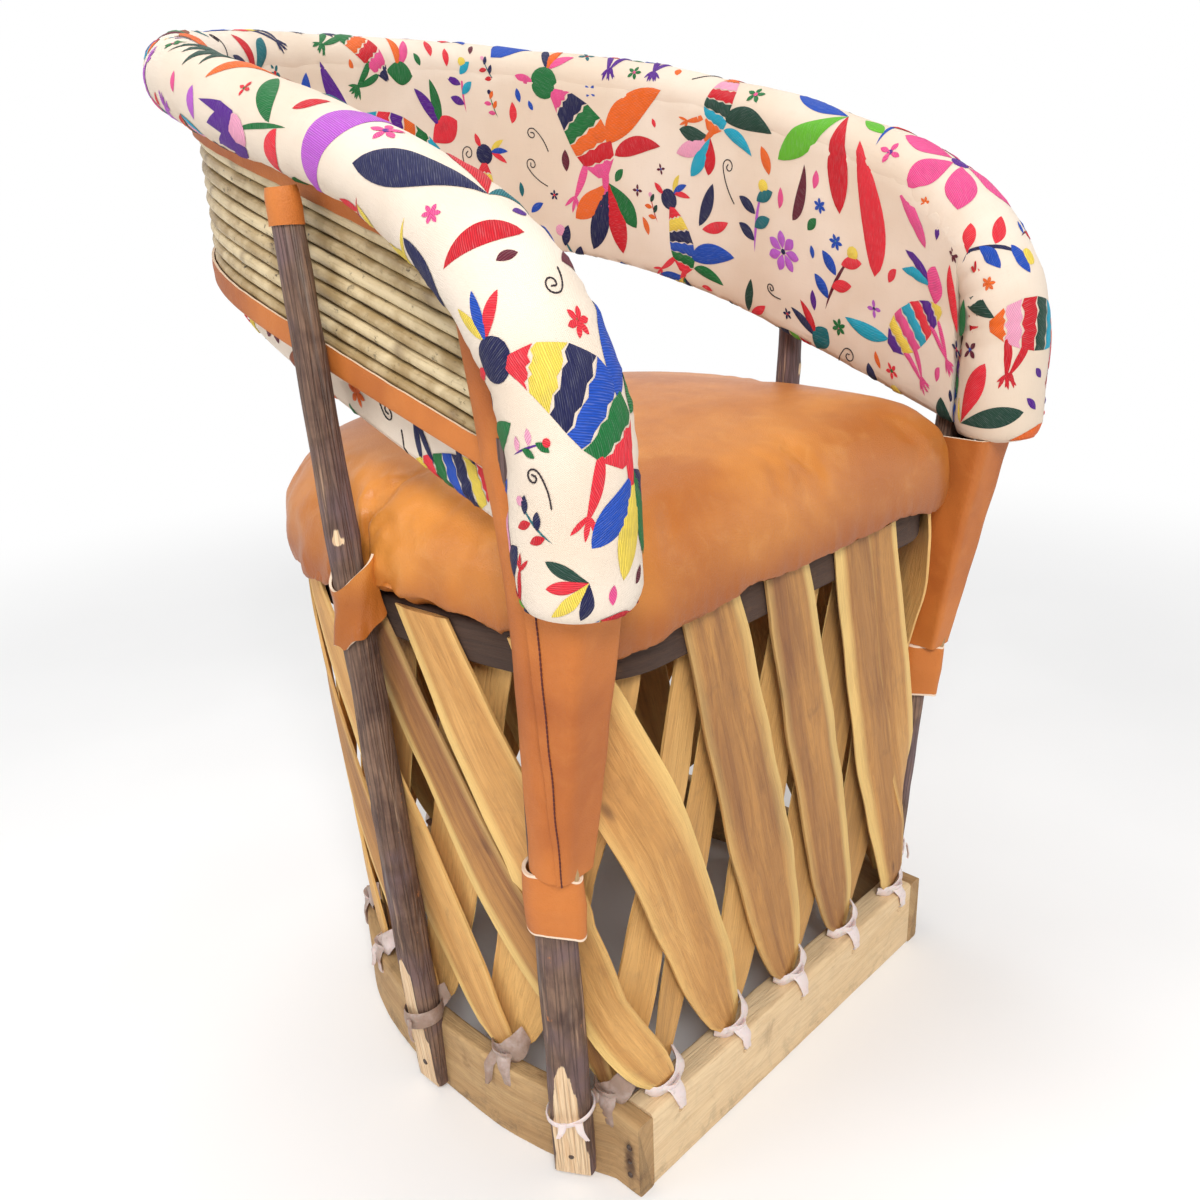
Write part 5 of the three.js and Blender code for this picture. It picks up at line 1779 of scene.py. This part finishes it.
def lapsNext(i):
    return i in (slat["cornerTie"], len(distances) - slat["cornerTie"] - 1)


def slatWidth(i, leans, wave):
    rooms = [slatSpacing(k, leans) for k in ((i - 1) % len(distances), i) if leans[k] < 0 or not lapsNext(k)]
    width = min(slat["width"] + slat["widthVaries"] * math.cos(wave * i), slat["roomShare"] * min(rooms))
    tucked = i in (slat["cornerTie"] + 1, len(distances) - slat["cornerTie"] - 1)
    return width * (slat["tuckedShare"] if tucked and leans[i] > 0 else 1)


for i, distance in enumerate(distances):
    lift = slat["lift"] if i in (slat["cornerTie"], len(distances) - slat["cornerTie"]) else 0
    rows = (("outer", 1, outerLeans, lift, i), ("inner", -1, innerLeans, 0, i + 30))
    for kind, side, leans, rise, number in rows:
        width = slatWidth(i, leans, slat[kind + "Wave"])
        slatPiece(f"{kind}_slat_{i + 1:02d}", distance, side, leans[i], width, rise, number)
print("slats done")


def plainCopy(node, name):
    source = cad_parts[node]
    mesh = source.data.copy()
    piece = bpy.data.objects.new(name, mesh)
    bpy.context.scene.collection.objects.link(piece)
    shape = bmesh.new()
    shape.from_mesh(mesh)
    bmesh.ops.remove_doubles(shape, verts=shape.verts, dist=1e-6)
    shape.to_mesh(mesh)
    shape.free()
    return piece


cushion = {"voxel": 0.0055, "start": 0.992, "heightShare": 0.985, "cap": 0.012, "pressure": 4, "frames": 20,
           "floor": seatHoop["top"] + 0.0005, "clearance": 0.0007, "postFolds": 0.0024, "sideFolds": 0.0016,
           "edgeFolds": 0.0014, "dimples": 0.0016,
           "rollFrom": 0.484, "rollTo": 0.449, "frontSag": 0.019, "sideSag": 0.027}
flap = {"top": 0.449, "wings": 0.024, "bottom": 0.408, "proud": 0.0016, "thickness": 0.0018, "reach": 125}


# Blows the cover up like a cloth bag and keeps each point within the cap
def puffed(piece):
    scene = bpy.context.scene
    rest = [v.co.copy() for v in piece.data.vertices]
    scene.frame_start = 1
    scene.frame_end = cushion["frames"]
    puff = piece.modifiers.new("puff", "CLOTH")
    puff.settings.quality = 5
    puff.settings.use_pressure = True
    puff.settings.uniform_pressure_force = cushion["pressure"]
    puff.settings.effector_weights.gravity = 0
    puff.point_cache.frame_start = 1
    puff.point_cache.frame_end = cushion["frames"]
    for number in range(1, cushion["frames"] + 1):
        scene.frame_set(number)
    applied(piece)
    scene.frame_set(1)
    for vertex, start in zip(piece.data.vertices, rest):
        shift = vertex.co - start
        if shift.length > cushion["cap"]:
            vertex.co = start + shift * (cushion["cap"] / shift.length)


def treeOf(names):
    verts, faces = [], []
    for name in names:
        mesh = pieces[name].data
        start = len(verts)
        verts += [v.co.copy() for v in mesh.vertices]
        faces += [[start + k for k in face.vertices] for face in mesh.polygons]
    return BVHTree.FromPolygons(verts, faces)


def creased(piece):
    posts = [sideAxis(0.46), mirrored(sideAxis(0.46)), frontAxis(0.46), mirrored(frontAxis(0.46))]
    normals = [v.normal.copy() for v in piece.data.vertices]
    for vertex, normal in zip(piece.data.vertices, normals):
        p = vertex.co - Vector((0, frontLine, 0))
        lift = ripple(p.x, p.y, p.z, 0.11) * cushion["dimples"]
        side = smooth(0.2, 0.24, abs(p.x)) * (1 - smooth(0.458, 0.482, p.z))
        low = 1 - smooth(0.44, 0.465, p.z)
        for i, post in enumerate(posts):
            away = Vector((p.x - post.x, p.y - post.y))
            near = math.exp(-(away.length / (0.05 if i < 2 else 0.034)) ** 2)
            angle = math.atan2(away.y, away.x)
            lift += math.sin(angle * 8 + ripple(p.x, p.y, p.z, 0.02) * 3 + i) * cushion["postFolds"] * near
        lift += math.sin(p.y * 150 + p.z * 90 + ripple(p.x, p.y, p.z, 0.05) * 3) * cushion["sideFolds"] * side
        lift += ripple(p.x, p.y, 2, 0.011, 2) * cushion["edgeFolds"] * low
        vertex.co += normal * lift


class Beside:
    def __init__(self, plan):
        self.plan = plan
        self.tree = KDTree(len(plan.points))
        for i, point in enumerate(plan.points):
            self.tree.insert(point, i)
        self.tree.balance()

    def out(self, x, y):
        found, i, _ = self.tree.find(Vector((x, y, 0)))
        return (Vector((x, y, 0)) - found).dot(self.plan.outward[i])


besideHoop = Beside(seatPlan)


def rolledDown(piece):
    for vertex in piece.data.vertices:
        p = vertex.co - Vector((0, frontLine, 0))
        if p.z > cushion["rollFrom"]:
            continue
        free = smooth(0.0135, 0.019, besideHoop.out(p.x, p.y))
        sideways = smooth(0.03, 0.09, p.y) * (1 - smooth(0.24, 0.32, p.y))
        sag = lerp(cushion["frontSag"], cushion["sideSag"], sideways)
        sag *= 1 + 0.25 * ripple(p.x, p.y, 1, 0.045)
        vertex.co.z -= sag * free * (1 - smooth(cushion["rollTo"], cushion["rollFrom"], p.z))


def kept(piece):
    pairs = [name + sideName for name in ("front_post_", "side_post_", "post_sheath_", "post_strip_")
             for sideName in ("left", "right")]
    tree = treeOf(["arm_roll", "back_lining", *pairs, "lower_binding"])
    for vertex in piece.data.vertices:
        found, normal, _, distance = tree.find_nearest(vertex.co, 0.014)
        if found is not None:
            clear = (vertex.co - found).dot(normal)
            if clear < cushion["clearance"]:
                vertex.co += normal * (cushion["clearance"] - clear)
        if besideHoop.out(vertex.co.x, vertex.co.y - frontLine) < 0.0135:
            vertex.co.z = max(vertex.co.z, cushion["floor"])


# The leather that hangs down round the outside of a side post
def flapPiece(axis, facing):
    rows = []
    for i in range(15):
        share = i / 14
        row = []
        for k in range(41):
            across = k / 20 - 1
            angle = math.radians(flap["reach"] * across)
            top = flap["top"] + flap["wings"] * abs(across) ** 1.4
            hang = flap["bottom"] + 0.013 * (across + 0.3) ** 2 + ripple(k * 0.01, facing.x, 1, 0.05) * 0.006
            z = lerp(top, hang, share)
            fold = (math.sin(angle * 5 + share * 3) * 0.0022 * share
                    + ripple(angle * 0.02, share * 0.05, 2, 0.02) * 0.0014)
            wing = 0.007 * smooth(0.45, 1, abs(across)) * (1 - 0.4 * share)
            reach = poleRadius(sidePost, z) + flap["proud"] + max(fold, -0.0006) + 0.0028 * share ** 2 + wing
            row.append(axis(z) + swung(facing, angle) * reach)
        rows.append(row)
    return sheetPiece("flap", rows, flap["thickness"], away=axis(0.44))


def cushionPiece():
    piece = plainCopy("seat_cushion", "seat_cushion")
    low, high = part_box("seat_cushion")
    centre = (low + high) / 2
    for v in piece.data.vertices:
        v.co = Vector((lerp(centre.x, v.co.x, cushion["start"]), lerp(centre.y, v.co.y, cushion["start"]),
                       low.z + (v.co.z - low.z) * cushion["heightShare"]))
    remesh = piece.modifiers.new("even", "REMESH")
    remesh.mode = "VOXEL"
    remesh.voxel_size = cushion["voxel"]
    applied(piece)
    puffed(piece)
    kept(piece)
    finer = piece.modifiers.new("finer", "SUBSURF")
    finer.levels = 1
    applied(piece)
    rolledDown(piece)
    piece.data.update()
    creased(piece)
    kept(piece)
    flaps = [flapPiece(sideAxis, west), flapPiece(mirrorAxis(sideAxis), east)]
    whole = joined("seat_leather", [piece] + flaps)
    print("cushion", len(whole.data.polygons))
    finished(smoothed(whole, 70), seatLeather, "seat_leather", "seat_cushion")


cushionPiece()
print("cushion done")


# Stitches, ties and nails by Geometry Nodes

# A tree with named inputs, which sealed() ends
def nodeTree(name, inputs):
    tree = bpy.data.node_groups.new(name, "GeometryNodeTree")
    sockets = {}
    for label, kind in inputs.items():
        socket = tree.interface.new_socket(label, in_out="INPUT", socket_type="NodeSocket" + kind)
        sockets[label] = socket.identifier
    tree.interface.new_socket("Pieces", in_out="OUTPUT", socket_type="NodeSocketGeometry")
    start = tree.nodes.new("NodeGroupInput")
    return Wire(tree), {label: Wire(tree, start.outputs[label]) for label in inputs}, sockets


def sealed(start, instances, paintUsed):
    realised = start.node("GeometryNodeRealizeInstances", None, {0: instances})
    painted = start.node("GeometryNodeSetMaterial", None, {"Geometry": realised, "Material": paintUsed})
    feed(start.tree, start.tree.nodes.new("NodeGroupOutput").inputs[0], painted)
    return start.tree


# Lays stitches of one kind along a path
def stitchTree():
    start, given, sockets = nodeTree("stitches along a path", {
        "Path": "Geometry", "Stitch": "Object", "Spacing": "Float", "Size": "Float", "Paint": "Material"})
    curve = start.node("GeometryNodeMeshToCurve", None, {"Mesh": given["Path"]})
    even = start.node("GeometryNodeResampleCurve", {"mode": "LENGTH"},
                      {"Curve": curve, "Length": given["Spacing"]})
    tangent = start.node("GeometryNodeInputTangent")
    facing = start.node("FunctionNodeAlignRotationToVector", {"axis": "Z"}, {"Vector": tangent})
    stitch = start.node("GeometryNodeObjectInfo", None, {"Object": given["Stitch"]}, "Geometry")
    row = start.node("GeometryNodeInstanceOnPoints", None,
                     {"Points": even, "Instance": stitch, "Rotation": facing, "Scale": given["Size"]})
    return sealed(start, row, given["Paint"]), sockets


stitches, stitchSockets = stitchTree()


# Runs a tree on a piece and keeps the result as its mesh
def grown(piece, tree, sockets, values):
    rows = piece.modifiers.new("pieces", "NODES")
    rows.node_group = tree
    for label, value in values.items():
        rows[sockets[label]] = value
    return applied(piece)


# A kind that a tree repeats is made round the origin
def template(piece, degrees):
    smoothed(piece, degrees)
    piece.data.transform(Matrix.Translation((0, -frontLine, 0)))
    return piece


def stitchKind(size):
    rings = [circle(6, wide * size["width"] / 2, share * size["length"])
             for share, wide in ((-0.5, 0.35), (-0.25, 0.9), (0.25, 0.9), (0.5, 0.35))]
    return template(skin("stitch_kind", rings), 60)


def stitched(name, paths, size, paintUsed, slot):
    verts, edges = [], []
    for path in paths:
        start = len(verts)
        verts += path
        edges += [(start + i, start + i + 1) for i in range(len(path) - 1)]
    piece = meshObject(name, verts, [], edges=edges)
    kind = stitchKind(size)
    grown(piece, stitches, stitchSockets, {"Stitch": kind, "Spacing": size["spacing"], "Size": 1.0,
                                           "Paint": paintUsed})
    bpy.data.objects.remove(kind)
    print(name, len(piece.data.polygons))
    return finished(outwards(smoothed(piece, 60)), paintUsed, slot)


stitched("sheath_seams", seams, {"length": 0.0036, "width": 0.0013, "spacing": 0.0032}, darkThread,
         "strap_leather")
stitched("cloth_curls", curls, {"length": 0.0026, "width": 0.0011, "spacing": 0.002}, blackThread,
         "embroidered_cloth")
print("stitches done")


tie = {"thickness": 0.0013, "broad": 1.35, "steps": 20, "kinds": 4}


# A smooth line through the controls, each a point and the broad way across the strip there
def flowing(controls, share):
    spans = len(controls) - 1
    at = clamp(share) * spans
    i = min(int(at), spans - 1)
    t = at - i
    rows = [controls[clamp(i + k, 0, spans)] for k in (-1, 0, 1, 2)]
    made = []
    for part in (0, 1):
        a, b, c, d = (row[part] for row in rows)
        made.append(0.5 * ((2 * b) + (c - a) * t + (2 * a - 5 * b + 4 * c - d) * t ** 2
                           + (3 * b - a - 3 * c + d) * t ** 3))
    return made


def ribbonPiece(name, controls, thickness, steps):
    row = [flowing(controls, i / steps) for i in range(steps + 1)]
    rings = []
    for i, (spot, broad) in enumerate(row):
        along = (row[min(i + 1, steps)][0] - row[max(i - 1, 0)][0]).normalized()
        normal = along.cross(broad).normalized()
        half = broad / 2
        wave = 0.0004 * math.sin(i * 1.7)
        near, thick = half * 0.6, normal * thickness
        rings.append([spot - half, spot - near + thick, spot + thick + normal * wave, spot + near + thick,
                      spot + half, spot + near - thick, spot - thick + normal * wave, spot - near - thick])
    return skin(name, rings)


def strapControls(chance, rows):
    controls = []
    for i, (x, y, z, bx, by, bz) in enumerate(rows):
        shift = Vector((chance.uniform(-1, 1), chance.uniform(-0.2, 0.3), chance.uniform(-1, 1))) * 0.8
        controls.append((Vector((x, y, z)) / 1000 + shift / 1000, Vector((bx, by, bz)) * tie["broad"] / 1000))
    return controls


# Local to the top outer edge of the board or the hoop: x along it, y outwards, z up
tieRows = {
    "wrap": [(-16, -14, 24, 5, 1, 9), (-14, -6.4, 18, 8, 1, 11), (-9, -4.4, 12, 6, 2, 14),
             (-3, -3.6, 9, 2, 4, 15), (4, -4.6, 7.5, 0, 4, 12), (10, -8, 6.5, 0, 3, 9),
             (14, -14, 7, 0, 1, 6)],
    "over": [(-10, -6, 6, 0, 4, 8), (-7, -2.6, 7, 1, 5, 9), (-2, -1.4, 7.5, 1, 6, 9), (3, -2.4, 8, 1, 5, 8),
             (8, -6, 9, 0, 2, 6)],
    "tail": [(-2, -4, 10, 11, 0, 0), (-3.5, -0.4, 4.5, 10, 0, 1), (-5, 2.0, -1.5, 8, 0, 0),
             (-6.5, 1.8, -8, 6.4, 0, 0), (-8, 1.2, -14, 5, 0, 0), (-8, -4, -16.6, 4.4, 0, 0)],
    "loose": [(3, -5, 8, 7, 0, 1), (5, -0.6, 3.5, 7, 1, 0), (7, 2.3, -2, 6, 1, 0), (8.5, 2.3, -9, 5, 1, 0),
              (9.5, 3.2, -15, 4, 1, 0), (10, 4.6, -20, 2.5, 0.5, 0)],
}


def tieKind(number):
    chance = random.Random(40 + number)
    names = ["wrap", "over", "tail", "loose"] if number > 1 else ["wrap", "over", "tail"]
    parts = [ribbonPiece("strap", strapControls(chance, tieRows[name]), tie["thickness"], tie["steps"])
             for name in names]
    return template(joined(f"tie_kind_{number}", parts), 60)


nails = {"radius": 0.0024, "fromEnd": 0.009, "hoopHeights": (0.017, 0.030, 0.043), "postHeight": 0.027}


def nailKind():
    dome = ((1, -0.001), (1, 0.0002), (0.86, 0.0007), (0.5, 0.001), (0.12, 0.0011))
    rings = [circle(10, reach * nails["radius"], height) for reach, height in dome]
    return template(skin("nail_kind", rings), 50)


def scatterTree():
    start, given, sockets = nodeTree("pieces on spots", {
        "Spots": "Geometry", "Kinds": "Collection", "Smallest": "Float", "Largest": "Float", "Seed": "Int",
        "Paint": "Material"})
    kinds = start.node("GeometryNodeCollectionInfo", None,
                       {"Collection": given["Kinds"], "Separate Children": True, "Reset Children": True})
    turn = start.node("GeometryNodeInputNamedAttribute", {"data_type": "FLOAT_VECTOR"}, {"Name": "turn"})
    pick = start.node("GeometryNodeInputNamedAttribute", {"data_type": "INT"}, {"Name": "kind"})
    size = start.node("FunctionNodeRandomValue", {"data_type": "FLOAT"},
                      {2: given["Smallest"], 3: given["Largest"], "Seed": given["Seed"]}, 1)
    spread = start.node("GeometryNodeInstanceOnPoints", None,
                        {"Points": given["Spots"], "Instance": kinds, "Pick Instance": True,
                         "Instance Index": pick, "Rotation": turn, "Scale": size})
    return sealed(start, spread, given["Paint"]), sockets


scatter, scatterSockets = scatterTree()


# Sets pieces of the given kinds on spots, each (point, turn matrix, kind, tone)
def scattered(name, spots, kinds, smallest, largest, seedNumber, paintUsed):
    piece = meshObject(name, [spot[0] for spot in spots], [])
    turns = [angle for spot in spots for angle in spot[1].to_euler()]
    for label, kind, values in (("turn", "FLOAT_VECTOR", turns), ("kind", "INT", [spot[2] for spot in spots]),
                                ("tone", "FLOAT", [spot[3] for spot in spots])):
        layer = piece.data.attributes.new(label, kind, "POINT")
        layer.data.foreach_set("vector" if kind == "FLOAT_VECTOR" else "value", values)
    group = bpy.data.collections.new(name + "_kinds")
    bpy.context.scene.collection.children.link(group)
    for kind in kinds:
        bpy.context.scene.collection.objects.unlink(kind)
        group.objects.link(kind)
    grown(piece, scatter, scatterSockets, {"Kinds": group, "Smallest": smallest, "Largest": largest,
                                           "Seed": seedNumber, "Paint": paintUsed})
    for kind in kinds:
        bpy.data.objects.remove(kind)
    bpy.data.collections.remove(group)
    return piece


def turned(outward, upward=up):
    across = outward.cross(upward).normalized()
    return Matrix((across, outward, upward)).transposed()


def tiePieces():
    spots = []
    chance = random.Random(5)
    for i, distance in enumerate(distances):
        spot, out = slatPlan.at(distance)
        if min(i, len(distances) - i) < 3:
            place = Vector((spot.x, 0, board["height"]))
            spots.append((place, turned(Vector((0, -1, 0))), i % 2, 0.1 + 0.08 * chance.random()))
        else:
            place = spot + out * slat["baseInset"]
            place.z = hoop["height"]
            spots.append((place, turned(out), 2 + i % 2, 0.55 + 0.3 * chance.random()))
    kinds = [tieKind(i) for i in range(tie["kinds"])]
    piece = scattered("slat_ties", spots, kinds, 0.92, 1.08, 3, rawhide)
    return finished(outwards(smoothed(piece, 60)), rawhide, "strap_leather")


tiePieces()


lashings = {
    "side": {"height": 0.077, "width": 0.015, "rise": 0.0035, "tone": 0.85, "tails": [(0.004, 0.016, 0.002)]},
    "front": {"height": 0.0705, "width": 0.0042, "rise": 0.0045, "tone": 0.02,
              "tails": [(0.006, 0.012, 0.006), (-0.005, 0.009, -0.004)]},
}


# A rawhide strap round a post at the top of the hoop. Each tail is [sideways, drop, lean].
def lashing(name, axis, post, facing, size):
    beside = Vector((-facing.y, facing.x, 0))
    controls = []
    for i in range(11):
        angle = math.radians(-150 + 30 * i)
        z = size["height"] + size["rise"] * math.sin(angle)
        controls.append((axis(z) + swung(facing, angle) * (poleRadius(post, z) + 0.0016), up * size["width"]))
    parts = [ribbonPiece(name, controls, 0.0008, 40)]
    for sideways, drop, lean in size["tails"]:
        first = controls[5][0] + beside * sideways + facing * 0.0022
        row = [(first + up * 0.004, beside * 0.006)]
        for k in range(1, 5):
            share = k / 4
            spot = first + beside * lean * share + facing * 0.0012 * math.sin(3 * share) - up * drop * share
            row.append((spot, beside * lerp(0.006, 0.0035, share)))
        parts.append(ribbonPiece(name, row, 0.0007, 14))
    piece = toned(joined(name, parts), size["tone"])
    return finished(smoothed(piece, 60), rawhide, "strap_leather")


for sideName, turn, facing, _ in sides:
    lashing("side_lashing_" + sideName, turn(sideAxis), sidePost, facing, lashings["side"])
    frontWay = Vector((facing.x * 0.72, -0.69, 0)).normalized()
    lashing("front_lace_" + sideName, turn(frontAxis), frontPost, frontWay, lashings["front"])


# Turns local z outwards, as for a nail's head
def turnedUp(way):
    return up.rotation_difference(way).to_matrix()


def nailPieces():
    spots = []
    for distance, way in ((nails["fromEnd"], west), (hoopPlan.length - nails["fromEnd"], east)):
        spots += [(hoopPlan.offset(distance, 0, z), turnedUp(way), 0, 0.5) for z in nails["hoopHeights"]]
    z = nails["postHeight"]
    for axis, post, way in ((frontAxis, frontPost, shavedWay), (sideAxis, sidePost, west)):
        shaved = (1 - z / post["shavedFrom"]) * post["shavedDepth"]
        place = axis(z) + way * (poleRadius(post, z) * 0.975 - shaved)
        spots += [(place, turnedUp(way), 0, 0.5), (mirrored(place), turnedUp(mirrored(way)), 0, 0.5)]
    piece = scattered("nails", spots, [nailKind()], 0.85, 1.1, 4, iron)
    return finished(outwards(smoothed(piece, 50)), iron, "strap_leather")


nailPieces()
print("ties and nails done")


# Stage, light and camera

def floorPaint():
    made, start = paint("pale floor")
    where = start.objectPlace()
    colour = where.cloud(3, 2).rise(0.3, 0.7).blend((0.94, 0.94, 0.94, 1), (0.92, 0.92, 0.92, 1))
    near = start.node("ShaderNodeBsdfPrincipled", None, {"Base Color": colour, "Roughness": 0.85})
    far = start.node("ShaderNodeVectorMath", {"operation": "LENGTH"}, {0: where}, 1).rise(0.75, 1.9)
    glow = start.node("ShaderNodeEmission")
    return surfaced(made, start, start.node("ShaderNodeMixShader", None, {0: far, 1: near, 2: glow}))


lamps = {"key": ((-1.5, -1.7, 2.2), 1.0, 62), "side": ((-2.2, 0.8, 1.5), 1.3, 14),
         "fill": ((2.0, -1.6, 1.2), 1.8, 7), "top": ((0.3, 0.5, 2.6), 1.4, 22)}


def stageAndLight():
    bpy.ops.mesh.primitive_plane_add(size=14, location=(0, 0, 0))
    floor = bpy.context.object
    floor.name = "floor"
    floor.data.materials.append(floorPaint())
    world = bpy.data.worlds.new("studio")
    bpy.context.scene.world = world
    world.use_nodes = True
    world.node_tree.nodes.clear()
    start = Wire(world.node_tree)
    rays = [start.node("ShaderNodeLightPath", None, None, f"Is {kind} Ray")
            for kind in ("Camera", "Glossy", "Transmission")]
    strength = (rays[0] + rays[1] + rays[2]).rise(0, 1, 0.32, 1)
    backdrop = start.node("ShaderNodeBackground", None, {"Color": (1, 1, 1, 1), "Strength": strength})
    feed(start.tree, start.tree.nodes.new("ShaderNodeOutputWorld").inputs[0], backdrop)
    for name, (place, size, power) in lamps.items():
        light = bpy.data.lights.new(name, "AREA")
        light.shape = "DISK"
        light.size = size
        light.energy = power
        lamp = bpy.data.objects.new(name, light)
        lamp.location = place
        lamp.rotation_euler = (Vector((0, 0, 0.4)) - Vector(place)).to_track_quat("-Z", "Y").to_euler()
        bpy.context.scene.collection.objects.link(lamp)


stageAndLight()


view = {"yaw": 45.40, "pitch": 21.13, "tilt": -2.41, "place": (-0.6406, -0.4188, 0.7068), "focal": 1119.6,
        "imageSide": 1200}


def placeCamera():
    yaw, pitch, tilt = (math.radians(view[label]) for label in ("yaw", "pitch", "tilt"))
    ahead = Vector((math.sin(yaw) * math.cos(pitch), math.cos(yaw) * math.cos(pitch), -math.sin(pitch)))
    level = Vector((math.cos(yaw), -math.sin(yaw), 0))
    upright = level.cross(ahead)
    right = level * math.cos(tilt) + upright * math.sin(tilt)
    above = upright * math.cos(tilt) - level * math.sin(tilt)
    lens = bpy.data.cameras.new("camera")
    lens.sensor_width = 36
    lens.lens = 36 * view["focal"] / view["imageSide"]
    camera = bpy.data.objects.new("camera", lens)
    turn = Matrix((right, above, -ahead)).transposed()
    place = Vector(view["place"]) + Vector((0, frontLine, 0))
    camera.matrix_world = Matrix.Translation(place) @ turn.to_4x4()
    bpy.context.scene.collection.objects.link(camera)
    bpy.context.scene.camera = camera


placeCamera()
bpy.context.scene.view_settings.view_transform = "Standard"
